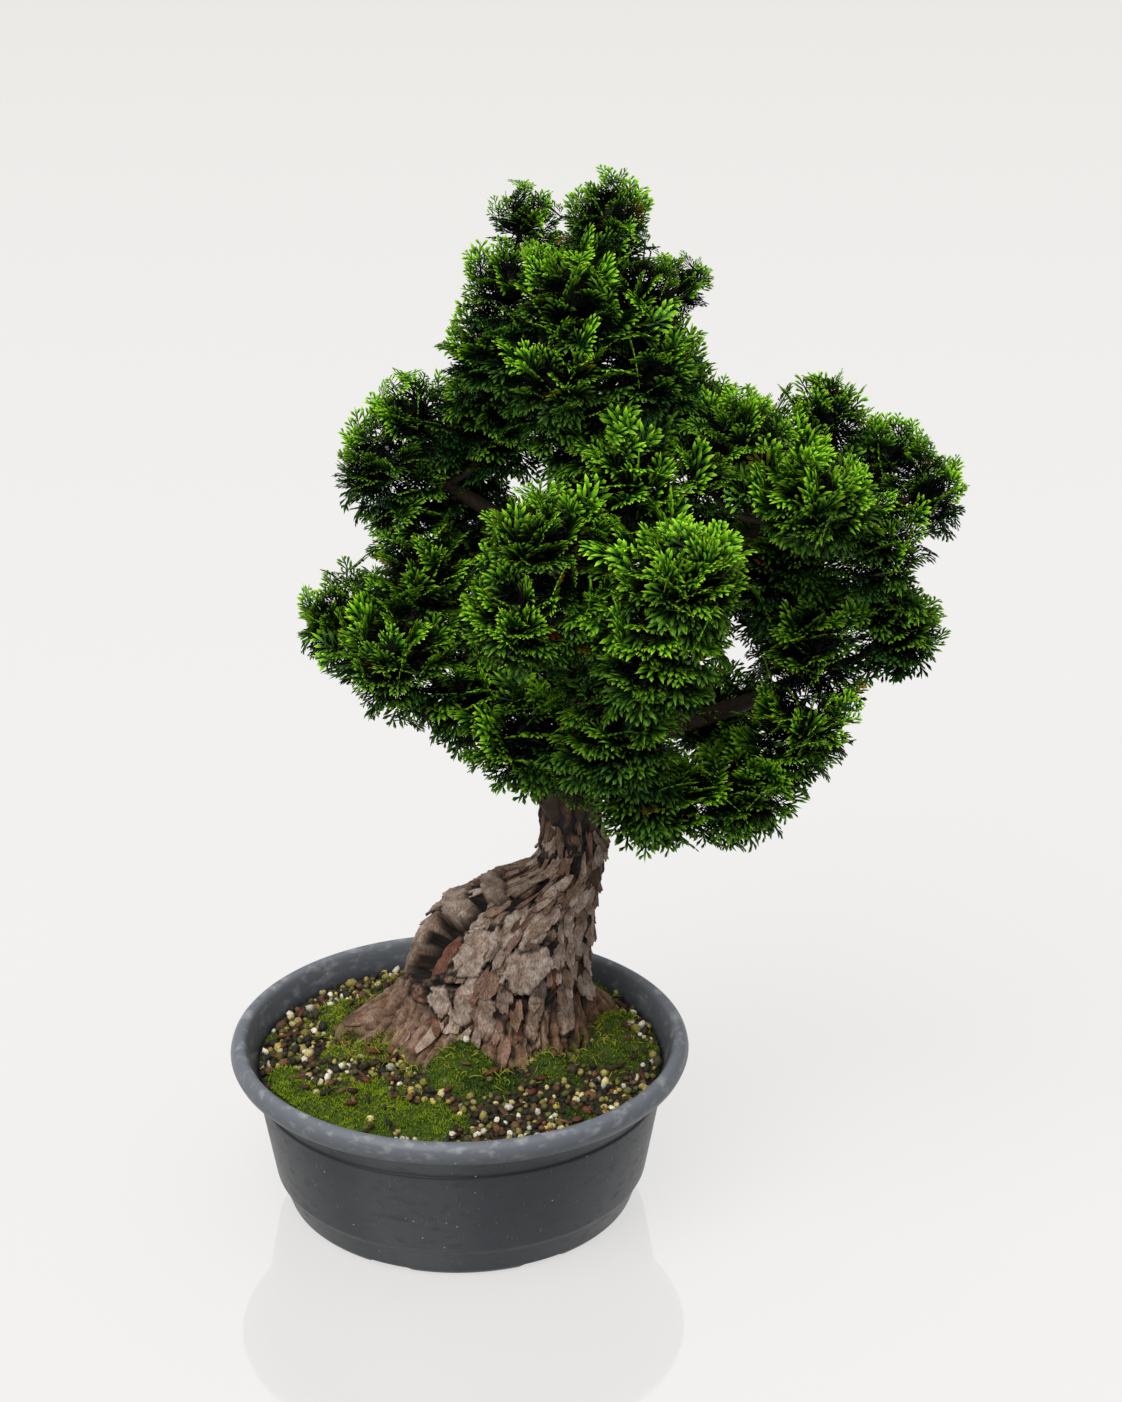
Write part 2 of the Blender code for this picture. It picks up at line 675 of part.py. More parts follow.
def fan_outline(clump, heading, face, sector, cell, rng):
    """Offsets of a fan's edge: left root, then fingertips with a notch between each two, then right root."""
    across = np.cross(face, heading)
    root = core_radius(clump)

    def spot(reach, turn):
        """A point of the fan's middle surface, at a share of the clump's own reach in that direction."""
        way = math.cos(turn) * heading + math.sin(turn) * across
        size = canopy_reach(clump, way)
        bend = FAN_CUP * (turn / FINGER_STEP) ** 2 * reach * size
        return drawn_in(way * size * reach + bend * face, heading, sector, cell)

    side = root * ROOT_HALF_SHARE * across
    edge = [heading * root - side]
    middle = (FAN_FINGERS - 1) / 2
    for finger in range(FAN_FINGERS):
        edge.append(spot(FULL_REACH - UNEVENNESS * rng.random(), (finger - middle) * FINGER_STEP))
        edge.append(spot(NOTCH_REACH, (finger - middle + 0.5) * FINGER_STEP))
    edge[-1] = heading * root + side
    return edge


def add_fan(shape, centre, edge, lift):
    """Adds a fan's upper and lower face and its rim, all but the root, where it joins the core."""
    upper = [shape.verts.new(centre + point + lift) for point in edge]
    lower = [shape.verts.new(centre + point - lift) for point in edge]
    last = len(edge) - 1
    triangles = [(valley, valley + 1, valley + 2) for valley in range(0, last, 2)]
    triangles += [(0, valley, valley + 2) for valley in range(2, last, 2)]
    for a, b, c in triangles:
        shape.faces.new((upper[a], upper[b], upper[c]))
        shape.faces.new((lower[c], lower[b], lower[a]))
    for index in range(last):
        shape.faces.new((upper[index], lower[index], lower[index + 1]))
        shape.faces.new((upper[index], lower[index + 1], upper[index + 1]))
    return [upper[0], upper[last], lower[last], lower[0]]


def add_core(shape, roots, seat):
    """Adds the core: the tight skin round the roots of the fans and the seat, open where a fan joins it."""
    made = bmesh.ops.convex_hull(shape, input=[vertex for root in roots for vertex in root] + seat)
    skin = [face for face in made["geom"] if isinstance(face, bmesh.types.BMFace)]
    joints = [face for face in skin for root in roots if all(vertex in root for vertex in face.verts)]
    bmesh.ops.delete(shape, geom=joints, context="FACES")


def clump_mesh(clump, points, rng):
    """A clump's fans and core as one closed skin, with a flat seat for the end of its twig."""
    centre = np.array(clump.centre)
    headings = fan_headings(clump, points, rng.random() * math.tau)
    cell = clump_cell(clump)
    shape = bmesh.new()
    roots = []
    for heading in headings:
        leaning = np.array((0.0, 0.0, 1.0)) if heading is points else points
        face = square_to(heading, leaning + rng.normal(0, FACE_JITTER, 3))
        edge = fan_outline(clump, heading, face, fan_sector(heading, headings), cell, rng)
        roots.append(add_fan(shape, centre, edge, face * FAN_THICKNESS / 2))
    across = square_to(points, SIDEWAYS)
    other = np.cross(points, across)
    below = centre - points * core_radius(clump)
    seat = [
        shape.verts.new(below + SEAT_RADIUS * (math.cos(angle) * across + math.sin(angle) * other))
        for angle in np.linspace(0, math.tau, SEAT_CORNERS, endpoint=False)
    ]
    add_core(shape, roots, seat)
    return mesh_of(f"foliage_{clump.name}", shape)


def keep_largest(made):
    """Drops loose scraps and fills sealed hollows, so that one closed body is left."""
    shape = bmesh.new()
    shape.from_mesh(made.data)
    left = set(shape.faces)
    bodies = []
    while left:
        body, waiting = [], [left.pop()]
        while waiting:
            face = waiting.pop()
            body.append(face)
            for edge in face.edges:
                for near in edge.link_faces:
                    if near in left:
                        left.remove(near)
                        waiting.append(near)
        bodies.append(body)
    bodies.sort(key=len)
    for scrap in bodies[:-1]:
        bmesh.ops.delete(shape, geom=scrap, context="FACES")
    shape.to_mesh(made.data)
    shape.free()


def build_clump(clump, points, wood_tool, finish, rng):
    """One foliage clump, cut back where a limb or another twig passes through it."""
    made = link_mesh(f"foliage_{clump.name}", clump_mesh(clump, points, rng))
    if overlaps(made, wood_tool):
        cut(made, wood_tool).solver = "MANIFOLD"
        settle(made)
        keep_largest(made)
    made.data.materials.append(finish)
    return made


def overlaps(first, second):
    """Whether the skins of two pieces cross."""
    graph = bpy.context.evaluated_depsgraph_get()
    return bool(BVHTree.FromObject(first, graph).overlap(BVHTree.FromObject(second, graph)))


def main():
    """Builds every piece where it stands."""
    clear_scene()
    grey_plastic = material("grey_plastic", (0.085, 0.095, 0.105), 0.55)
    grit = material("grit_soil", (0.12, 0.09, 0.055), 0.95)
    bark = material("bark", (0.17, 0.105, 0.07), 0.9)
    leaf = material("hinoki_foliage", (0.05, 0.17, 0.03), 0.6)
    build_pot(grey_plastic)
    build_soil(grit, cutter("trunk_hole", bole_mesh("trunk_hole", PIECE_GAP)))
    build_wood(bark)
    wood_tool = united("wood_hole", wood_parts(PIECE_GAP))
    wood_tool.hide_render = True
    wood_tool.display_type = "WIRE"
    rng = np.random.default_rng(SEED)
    places = bearing_points()
    for clump in CLUMPS:
        _, points = twig_of(clump, places)
        build_clump(clump, points, wood_tool, leaf, rng)


main()
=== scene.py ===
"""Looks of a potted hinoki cypress bonsai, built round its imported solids.

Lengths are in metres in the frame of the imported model, with +Z up, and the tree's front is seen by looking
along +Y. Each piece is worked out as whole arrays with numpy: a surface is a grid over two parameters, and a
repeated shape is a small template that arrays of places, turns and sizes set down many times at once.
"""

import logging
import math
from collections.abc import Mapping, Sequence
from dataclasses import dataclass, field
from enum import Enum
from itertools import combinations

import bpy
import numpy as np
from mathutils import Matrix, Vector


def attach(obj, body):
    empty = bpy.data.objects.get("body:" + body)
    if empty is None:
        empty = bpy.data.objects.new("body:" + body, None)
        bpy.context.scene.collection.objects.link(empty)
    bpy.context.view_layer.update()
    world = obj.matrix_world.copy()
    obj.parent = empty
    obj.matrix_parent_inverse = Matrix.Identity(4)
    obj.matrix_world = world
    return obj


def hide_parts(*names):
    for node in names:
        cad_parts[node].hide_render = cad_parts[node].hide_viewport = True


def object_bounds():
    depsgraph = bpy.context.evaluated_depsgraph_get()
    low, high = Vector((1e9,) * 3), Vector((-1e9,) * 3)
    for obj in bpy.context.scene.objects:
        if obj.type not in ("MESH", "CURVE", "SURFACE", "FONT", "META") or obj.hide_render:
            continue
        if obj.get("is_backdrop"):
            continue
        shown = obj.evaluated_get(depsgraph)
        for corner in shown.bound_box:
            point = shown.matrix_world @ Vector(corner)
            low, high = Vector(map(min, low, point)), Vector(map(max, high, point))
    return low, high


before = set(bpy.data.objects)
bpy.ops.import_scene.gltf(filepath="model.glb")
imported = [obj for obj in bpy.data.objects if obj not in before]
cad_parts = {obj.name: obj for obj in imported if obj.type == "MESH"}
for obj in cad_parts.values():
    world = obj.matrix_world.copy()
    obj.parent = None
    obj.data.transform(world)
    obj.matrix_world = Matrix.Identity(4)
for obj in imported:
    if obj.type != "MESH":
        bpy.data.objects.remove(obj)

LOG = logging.getLogger("bonsai")
SEED = 20240611
MM_PER_M = 1000
PIECE_GAP = 0.0003
SIDEWAYS = np.array((0.36, 0.93, 0.02))
UPWARDS = np.array((0.0, 0.0, 1.0))

Array = np.ndarray
Material = bpy.types.Material
Piece = bpy.types.Object
Socket = bpy.types.NodeSocket
Route = tuple[tuple[float, float, float], ...]


# Small tools for numbers


def smoothstep(low: float, high: float, value: Array) -> Array:
    """Returns 0 below low, 1 above high and a smooth rise between."""
    share = np.clip((value - low) / (high - low), 0.0, 1.0)
    return share * share * (3 - 2 * share)


def unit(rows: Array) -> Array:
    """Returns each vector of the last axis at length 1."""
    return rows / np.maximum(np.linalg.norm(rows, axis=-1, keepdims=True), 1e-12)


def square_to(heading: Array, rough: Array) -> Array:
    """Returns the directions nearest to the rough ones that are square to the headings."""
    return unit(rough - (rough * heading).sum(-1, keepdims=True) * heading)


def full_turn(count: int) -> Array:
    """Returns evenly spread angles round a circle."""
    return np.linspace(0, math.tau, count, endpoint=False)


def turn_from(start: float, angles: Array) -> Array:
    """Returns the turn from a start angle to each angle, at most half a turn either way."""
    return np.angle(np.exp(1j * (angles - start)))


def circling(turns: Array, first: Array, second: Array) -> Array:
    """Returns cosine of the turn times the first direction plus sine of the turn times the second."""
    return np.cos(turns)[..., None] * first[..., None, :] + np.sin(turns)[..., None] * second[..., None, :]


def on_plane(x: Array, y: Array) -> Array:
    """Returns the points at these places on the plane at height zero."""
    return np.stack([x, y, np.zeros_like(x)], -1)


def smooth_route(points: Sequence[Sequence[float]], count: int) -> Array:
    """Spreads points evenly along a smooth curve through the given ones.

    Formula: from each row to the next, the cubic whose slope at a row is half the way from the row before it
    to the row after it. The end rows are mirrored outwards.

    Args:
        points: Rows of numbers that the curve passes through.
        count: How many rows to return.

    Returns:
        The rows of the curve.
    """
    rows = np.asarray(points, float)
    padded = np.vstack([2 * rows[0] - rows[1], rows, 2 * rows[-1] - rows[-2]])
    places = np.linspace(0, len(rows) - 1, count)
    index = np.minimum(places.astype(int), len(rows) - 2)
    t = (places - index)[:, None]
    a, b, c, d = (padded[index + shift] for shift in range(4))
    return 0.5 * (2 * b + (c - a) * t + (2 * a - 5 * b + 4 * c - d) * t**2 + (3 * b - a - 3 * c + d) * t**3)


def scattered(cells: Array, salt: int) -> Array:
    """Gives each whole-numbered cell of a 3-D grid a fixed random number.

    Formula: the cell's three numbers, each times its own large prime, are added up, and the sum's bits are
    folded over and multiplied again three times.

    Args:
        cells: The cells, one row each.
        salt: Picks one of many such sets of numbers.

    Returns:
        A number from 0 to 1 for each cell.
    """
    spun = cells.astype(np.int64).astype(np.uint32)
    mixed = spun[..., 0] * np.uint32(374761393) + spun[..., 1] * np.uint32(668265263)
    mixed = mixed + spun[..., 2] * np.uint32(2246822519) + np.uint32((salt * 3266489917) % 2**32)
    mixed = (mixed ^ (mixed >> np.uint32(13))) * np.uint32(1274126177)
    mixed = (mixed ^ (mixed >> np.uint32(16))) * np.uint32(2654435761)
    return ((mixed ^ (mixed >> np.uint32(15))) & np.uint32(0xFFFFFF)) / float(0x1000000)


def rolling(points: Array, salt: int) -> Array:
    """Smooth random swells from -1 to 1 with a wavelength of about one unit.

    Formula: the random numbers at the eight corners of the point's cell, blended by smoothstep on each axis.

    Args:
        points: Places, one row each.
        salt: Picks one of many such fields.

    Returns:
        The field's value at each place.
    """
    cell = np.floor(points)
    share = points - cell
    share = share * share * (3 - 2 * share)
    total = np.zeros(points.shape[:-1])
    for corner in np.ndindex(2, 2, 2):
        step = np.array(corner)
        weight = np.prod(np.where(step == 1, share, 1 - share), axis=-1)
        total += weight * scattered(cell + step, salt)
    return 2 * total - 1


@dataclass(frozen=True)
class Cells:
    """What a random cell pattern says at each point: edge, own number and place within the cell."""

    edge: Array
    number: Array
    offset: Array


def cell_pattern(points: Array, salt: int) -> Cells:
    """Divides space into random cells about one unit wide.

    Formula: each cell of a square grid holds one random seed, and a point belongs to the nearest seed of the
    27 cells round it. The edge value is the second nearest distance less the nearest.

    Args:
        points: Places, one row each.
        salt: Picks one of many such patterns.

    Returns:
        The edge value, the cell's own random number and the offset from its seed, for each place.
    """
    home = np.floor(points)
    nearest = np.full(points.shape[:-1], 9.0)
    second = nearest.copy()
    number = np.zeros(points.shape[:-1])
    offset = np.zeros(points.shape)
    for step in np.ndindex(3, 3, 3):
        cell = home + np.array(step) - 1
        seed = cell + np.stack([scattered(cell, salt + axis) for axis in range(3)], axis=-1)
        away = points - seed
        distance = np.linalg.norm(away, axis=-1)
        closer = distance < nearest
        second = np.where(closer, nearest, np.minimum(second, distance))
        nearest = np.where(closer, distance, nearest)
        number = np.where(closer, scattered(cell, salt + 3), number)
        offset = np.where(closer[..., None], away, offset)
    return Cells(second - nearest, number, offset)


# Small tools for meshes


def grid_faces(rows: int, columns: int, closed: bool = True) -> Array:
    """Joins a grid of points by quads.

    Args:
        rows: Rows of the grid, whose points are numbered row by row.
        columns: Points in a row.
        closed: Whether a row's last point joins on to its first.

    Returns:
        The quads.
    """
    row = np.arange(rows - 1)[:, None] * columns
    column = np.arange(columns if closed else columns - 1)[None]
    after = (column + 1) % columns
    quads = [row + column, row + after, row + columns + after, row + columns + column]
    return np.stack(quads, -1).reshape(-1, 4)


def cap_faces(pole: int, ring: Array, outwards: bool) -> Array:
    """Joins a ring of points to a pole by triangles.

    Args:
        pole: The pole's number.
        ring: The ring's numbers.
        outwards: Whether the ring's own order gives the side that faces out.

    Returns:
        The triangles.
    """
    after = np.roll(ring, -1)
    pair = (ring, after) if outwards else (after, ring)
    return np.stack([np.full(len(ring), pole), *pair], axis=-1)


def capped_grid(rows: int, columns: int) -> list[Array]:
    """Joins a grid of points and two poles, which are numbered after them, to a closed skin.

    Args:
        rows: Rows of the grid, each of which closes on itself.
        columns: Points in a row.

    Returns:
        The quads of the grid, and the triangles round the first row's pole and round the last row's.
    """
    count, ring = rows * columns, np.arange(columns)
    caps = [cap_faces(count, ring, False), cap_faces(count + 1, count - columns + ring, True)]
    return [grid_faces(rows, columns), *caps]


def repeated(faces: Array, points_each: int, count: int) -> Array:
    """Returns a template's faces for a number of copies whose points follow each other."""
    return (faces[None] + points_each * np.arange(count)[:, None, None]).reshape(-1, faces.shape[-1])


def surface_normals(points: Array) -> Array:
    """Works out which way a grid of points faces, from the steps to the next rows and columns.

    Args:
        points: The grid, whose rows close on themselves.

    Returns:
        The unit normals, which face away from its axis.
    """
    along = np.gradient(points, axis=0)
    across = np.roll(points, -1, axis=1) - np.roll(points, 1, axis=1)
    return unit(np.cross(across, along))


def marks_of(count: int, *parts: object) -> Array:
    """Lays out the four numbers that each point of a mesh carries.

    Args:
        count: How many points there are.
        parts: The first, second, third and fourth number, as an array or as one value for all. Those left
            out are zero.

    Returns:
        The numbers, one row for each point.
    """
    marks = np.zeros((count, 4))
    for column, part in enumerate(parts):
        marks[:, column] = part
    return marks


def put_mesh(
    name: str,
    points: Array,
    faces: Sequence[Array],
    finish: Material,
    marks: Mapping[str, Array] | None = None,
    smooth: bool = True,
) -> Piece:
    """Makes an object from arrays of points and faces.

    Args:
        name: The object's name.
        points: Its points, one row each.
        faces: Arrays of faces, each of triangles or of quads.
        finish: Its material.
        marks: Colour attributes on the points, four numbers each.
        smooth: Whether its faces are shaded as one smooth skin.

    Returns:
        The object, at the origin.
    """
    mesh = bpy.data.meshes.new(name)
    points = np.ascontiguousarray(points.reshape(-1, 3), np.float32)
    corners = np.concatenate([rows.ravel() for rows in faces]).astype(np.int32)
    sizes = np.concatenate([np.full(len(rows), rows.shape[1]) for rows in faces])
    mesh.vertices.add(len(points))
    mesh.vertices.foreach_set("co", points.ravel())
    mesh.loops.add(len(corners))
    mesh.loops.foreach_set("vertex_index", corners)
    mesh.polygons.add(len(sizes))
    mesh.polygons.foreach_set("loop_start", np.concatenate([[0], np.cumsum(sizes)[:-1]]).astype(np.int32))
    mesh.polygons.foreach_set("use_smooth", np.full(len(sizes), smooth))
    mesh.update(calc_edges=True)
    for mark, values in (marks or {}).items():
        layer = mesh.attributes.new(mark, "FLOAT_COLOR", "POINT")
        layer.data.foreach_set("color", np.ascontiguousarray(values, np.float32).ravel())
    mesh.materials.append(finish)
    made = bpy.data.objects.new(name, mesh)
    bpy.context.scene.collection.objects.link(made)
    return made


def settle(made: Piece, slot: str, *nodes: str) -> Piece:
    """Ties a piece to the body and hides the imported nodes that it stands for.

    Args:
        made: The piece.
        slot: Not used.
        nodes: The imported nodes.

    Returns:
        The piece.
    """
    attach(made, "root")
    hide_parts(*nodes)
    triangles = len(made.data.loops) - 2 * len(made.data.polygons)
    LOG.info("%s: %d triangles, stands for %d nodes", made.name, triangles, len(nodes))
    return made


def tubes(routes: Array, radii: Array, sides: int) -> tuple[Array, list[Array]]:
    """Closed tubes of round section along many routes at once.

    Formula: point + radius times (cosine of the turn times one side direction + sine times the other).

    Args:
        routes: Points of each route, as (tube, step, 3).
        radii: Radius at each of them, as (tube, step).
        sides: Corners of the section.

    Returns:
        The points and the arrays of faces.
    """
    count, steps = radii.shape
    heading = unit(np.gradient(routes, axis=1))
    across = unit(np.cross(heading, SIDEWAYS))
    other = np.cross(heading, across)
    circle = circling(full_turn(sides), across, other)
    points = routes[:, :, None] + radii[:, :, None, None] * circle
    each = steps * sides
    first = np.arange(sides)[None, ::-1]
    last = np.arange(each - sides, each)[None]
    faces = [repeated(rows, each, count) for rows in (grid_faces(steps, sides), first, last)]
    return points.reshape(-1, 3), faces


# Finishes


def linear(colour: str) -> tuple[float, float, float, float]:
    """Turns an sRGB hex colour into linear light.

    Args:
        colour: The colour, such as #2F3339.

    Returns:
        Red, green, blue and alpha.
    """
    parts = [int(colour[place : place + 2], 16) / 255 for place in (1, 3, 5)]
    light = [part / 12.92 if part <= 0.04045 else ((part + 0.055) / 1.055) ** 2.4 for part in parts]
    return *light, 1.0


def add_node(
    tree: bpy.types.NodeTree, kind: str, inputs: Mapping | Sequence, **settings: object
) -> bpy.types.Node:
    """Adds a node with its settings, values and links.

    Args:
        tree: The material's nodes.
        kind: The node's type name, without the word ShaderNode in front.
        inputs: For each socket, by name or number or in order, a value, or the socket that is linked to it.
        settings: The node's own settings. A setting named stops gives a colour ramp its places and colours.

    Returns:
        The node.
    """
    node = tree.nodes.new(f"ShaderNode{kind}")
    stops = settings.pop("stops", ())
    for name, value in settings.items():
        setattr(node, name, value)
    for index, (place, colour) in enumerate(stops):
        ramp = node.color_ramp.elements
        stop = ramp[index] if index < len(ramp) else ramp.new(place)
        stop.position, stop.color = place, linear(colour)
    for name, value in inputs.items() if isinstance(inputs, Mapping) else enumerate(inputs):
        if isinstance(value, Socket):
            tree.links.new(value, node.inputs[name])
        else:
            node.inputs[name].default_value = linear(value) if isinstance(value, str) else value
    return node


# Numbers of sockets, as the nodes Mix and Map Range count them, and settings that many nodes share
FACTOR, A, B, RESULT = 0, 6, 7, 2
FROM_LOW, FROM_HIGH, TO_LOW, TO_HIGH = 1, 2, 3, 4
BLEND = {"data_type": "RGBA"}
SHADE = {**BLEND, "blend_type": "MULTIPLY"}
PRODUCT = {"operation": "MULTIPLY", "use_clamp": True}
SUM = {**PRODUCT, "operation": "ADD"}


@dataclass(frozen=True)
class Shading:
    """A material under way, with the nodes that every finish here starts from."""

    material: Material

    @classmethod
    def start(cls, name: str) -> "Shading":
        """Starts an empty material.

        Args:
            name: The material's name.

        Returns:
            The shading of that material.
        """
        material = bpy.data.materials.new(name)
        material.use_nodes = True
        material.node_tree.nodes.clear()
        return cls(material)

    def node(
        self, kind: str, inputs: Mapping | Sequence, output: str | int = 0, **settings: object
    ) -> Socket:
        """Returns one output of a new node of this material."""
        return add_node(self.material.node_tree, kind, inputs, **settings).outputs[output]

    def place(self, scale: tuple[float, float, float] = (1.0, 1.0, 1.0)) -> Socket:
        """Returns the point in the object's own coordinates, stretched by a scale for each axis."""
        return self.node("Mapping", {"Vector": self.node("TexCoord", {}, "Object"), "Scale": scale})

    def span(self, axis: str, low: float, high: float, top: float = 1.0) -> Socket:
        """Returns 0 at one place on an axis, a top value at another, and a straight line between."""
        place = self.node("SeparateXYZ", {"Vector": self.place()}, axis)
        ends = {FROM_LOW: low, FROM_HIGH: high, TO_LOW: 0.0, TO_HIGH: top}
        return self.node("MapRange", {"Value": place, **ends})

    def mark(self, name: str) -> tuple[Socket, ...]:
        """Reads what a mesh carries under a name.

        Args:
            name: The attribute's name.

        Returns:
            Its four numbers.
        """
        tree = self.material.node_tree
        read = add_node(tree, "Attribute", {}, attribute_name=name).outputs
        parts = add_node(tree, "SeparateColor", {"Color": read["Color"]}).outputs
        return parts[0], parts[1], parts[2], read["Alpha"]

    def finish(self, inputs: Mapping, height: Socket | None = None, depth: float = 0.0) -> Material:
        """Joins colour, gloss and relief to the surface.

        Args:
            inputs: What goes into the surface's sockets.
            height: The relief, from 0 to 1.
            depth: How deep that relief is, in metres.

        Returns:
            The finished material.
        """
        surface = dict(inputs)
        if height is not None:
            bump = {"Height": height, "Distance": depth, "Strength": 1.0}
            surface["Normal"] = self.node("Bump", bump)
        shader = self.node("BsdfPrincipled", surface)
        add_node(self.material.node_tree, "OutputMaterial", {"Surface": shader})
        return self.material


@dataclass(frozen=True)
class MouldedPolypropylene:
    """The pot: injection-moulded polypropylene, satin, blue-grey, paler on the rim, partly scuffed and partly
    a painted highlight.
    """

    body: str = "#2F3339"
    shade: str = "#2A2D32"
    scuff_and_highlight: str = "#9096A0"
    speck: str = "#C9CCCB"

    def build(self) -> Material:
        """Builds the material.

        Returns:
            The material.
        """
        make = Shading.start("moulded_polypropylene")
        where = make.place()
        clouds = make.node("TexNoise", {"Vector": where, "Scale": 1 / 0.035, "Detail": 3.0})
        base = make.node("ValToRGB", {"Fac": clouds}, stops=((0.35, self.shade), (0.65, self.body)))
        # Fingers and stacking rub the rim: a pale haze in broken strokes of up to 8 mm. The rim's paler
        # colour and haze are partly wear and partly a painted highlight.
        rim_wear_and_highlight = make.node("Math", (make.span("Z", 0.083, 0.0985), 0.60), **PRODUCT)
        flat = make.place((1.0, 1.0, 2.0))
        strokes = make.node("TexNoise", {"Vector": flat, "Scale": 1 / 0.0085, "Detail": 5.0})
        haze = make.node("ValToRGB", {"Fac": strokes}, stops=((0.52, "#000000"), (0.78, "#FFFFFF")))
        rubbed_haze_and_highlight = make.node("Math", (haze, rim_wear_and_highlight), **PRODUCT)
        wear_and_highlight = make.node("Mix", {FACTOR: rim_wear_and_highlight, A: base, B: self.scuff_and_highlight}, RESULT, **BLEND)
        wear_and_highlight = make.node("Mix", {FACTOR: rubbed_haze_and_highlight, A: wear_and_highlight, B: self.speck}, RESULT, **BLEND)
        # Dry splashes and lint: pale specks of about half a millimetre, thinly spread.
        dots = make.node("TexVoronoi", {"Vector": where, "Scale": 1 / 0.0085}, "Distance", feature="F1")
        fleck = make.node("ValToRGB", {"Fac": dots}, stops=((0.035, "#FFFFFF"), (0.06, "#000000")))
        share = make.node("Math", (fleck, 0.8), **PRODUCT)
        wear_and_highlight = make.node("Mix", {FACTOR: share, A: wear_and_highlight, B: self.speck}, RESULT, **BLEND)
        # Fine handling scratches, drawn 1 mm wide so that they show, run mostly up and down the wall.
        upright = make.place((1.0, 1.0, 0.06))
        lines = make.node("TexNoise", {"Vector": upright, "Scale": 1 / 0.0011, "Detail": 2.0})
        scratch = make.node("ValToRGB", {"Fac": lines}, stops=((0.68, "#000000"), (0.74, "#FFFFFF")))
        share = make.node("Math", (scratch, 0.28), **PRODUCT)
        wear_and_highlight = make.node("Mix", {FACTOR: share, A: wear_and_highlight, B: self.scuff_and_highlight}, RESULT, **BLEND)
        rough = make.node("MapRange", {"Value": haze, TO_LOW: 0.38, TO_HIGH: 0.55})
        surface = {"Base Color": wear_and_highlight, "Roughness": rough, "IOR": 1.49, "Specular IOR Level": 0.34}
        return make.finish(surface, strokes, 0.00005)


@dataclass(frozen=True)
class PottingBed:
    """The bed under the dressing: damp loam and fines, green where moss covers it."""

    loam: str = "#120D07"
    fines: str = "#3E341C"
    moss: str = "#384C06"

    def build(self) -> Material:
        """Builds the material.

        Returns:
            The material.
        """
        make = Shading.start("damp_loam_and_fines")
        where = make.place()
        grains = make.node("TexVoronoi", {"Vector": where, "Scale": 1 / 0.0022}, "Distance", feature="F1")
        crumbs = make.node("TexNoise", {"Vector": where, "Scale": 1 / 0.002, "Detail": 4.0})
        earth = make.node("ValToRGB", {"Fac": crumbs}, stops=((0.38, self.loam), (0.66, self.fines)))
        cover = make.mark("bed")[0]
        colour = make.node("Mix", {FACTOR: cover, A: earth, B: self.moss}, RESULT, **BLEND)
        return make.finish({"Base Color": colour, "Roughness": 0.9}, grains, 0.0009)


@dataclass(frozen=True)
class TintedGrain:
    """Loose mineral grains and bark chips: each has its own tint, with a dusty, finely pitted face."""

    name: str
    roughness: float

    def build(self) -> Material:
        """Builds the material.

        Returns:
            The material.
        """
        make = Shading.start(self.name)
        tint = make.node("Attribute", {}, "Color", attribute_name="tint")
        pits = make.node("TexNoise", {"Vector": make.place(), "Scale": 1 / 0.0012, "Detail": 4.0})
        shade = make.node("ValToRGB", {"Fac": pits}, stops=((0.3, "#8A8474"), (0.7, "#FFFFFF")))
        colour = make.node("Mix", {FACTOR: 0.8, A: tint, B: shade}, RESULT, **SHADE)
        return make.finish({"Base Color": colour, "Roughness": self.roughness}, pits, 0.0004)


@dataclass(frozen=True)
class LivingMoss:
    """Moss shoots: tiny matt leaflets that look velvety, dark at the foot and yellow-green at the tip."""

    foot: str = "#283804"
    middle: str = "#6E8C0A"
    tip: str = "#CCE014"
    dry: str = "#B0A446"

    def build(self) -> Material:
        """Builds the material.

        Returns:
            The material.
        """
        make = Shading.start("living_moss")
        height, tone, dryness, _ = make.mark("shoot")
        stops = (0.0, self.foot), (0.55, self.middle), (1.0, self.tip)
        fresh = make.node("ValToRGB", {"Fac": height}, stops=stops)
        stops = (0.0, "#3A5C12"), (0.6, "#BED050"), (1.0, "#FFFFFF")
        shade = make.node("ValToRGB", {"Fac": tone}, stops=stops)
        colour = make.node("Mix", {FACTOR: 1.0, A: fresh, B: shade}, RESULT, **SHADE)
        colour = make.node("Mix", {FACTOR: dryness, A: colour, B: self.dry}, RESULT, **BLEND)
        surface = {"Base Color": colour, "Roughness": 0.8, "Sheen Weight": 0.03, "Specular IOR Level": 0.12}
        return make.finish(surface)


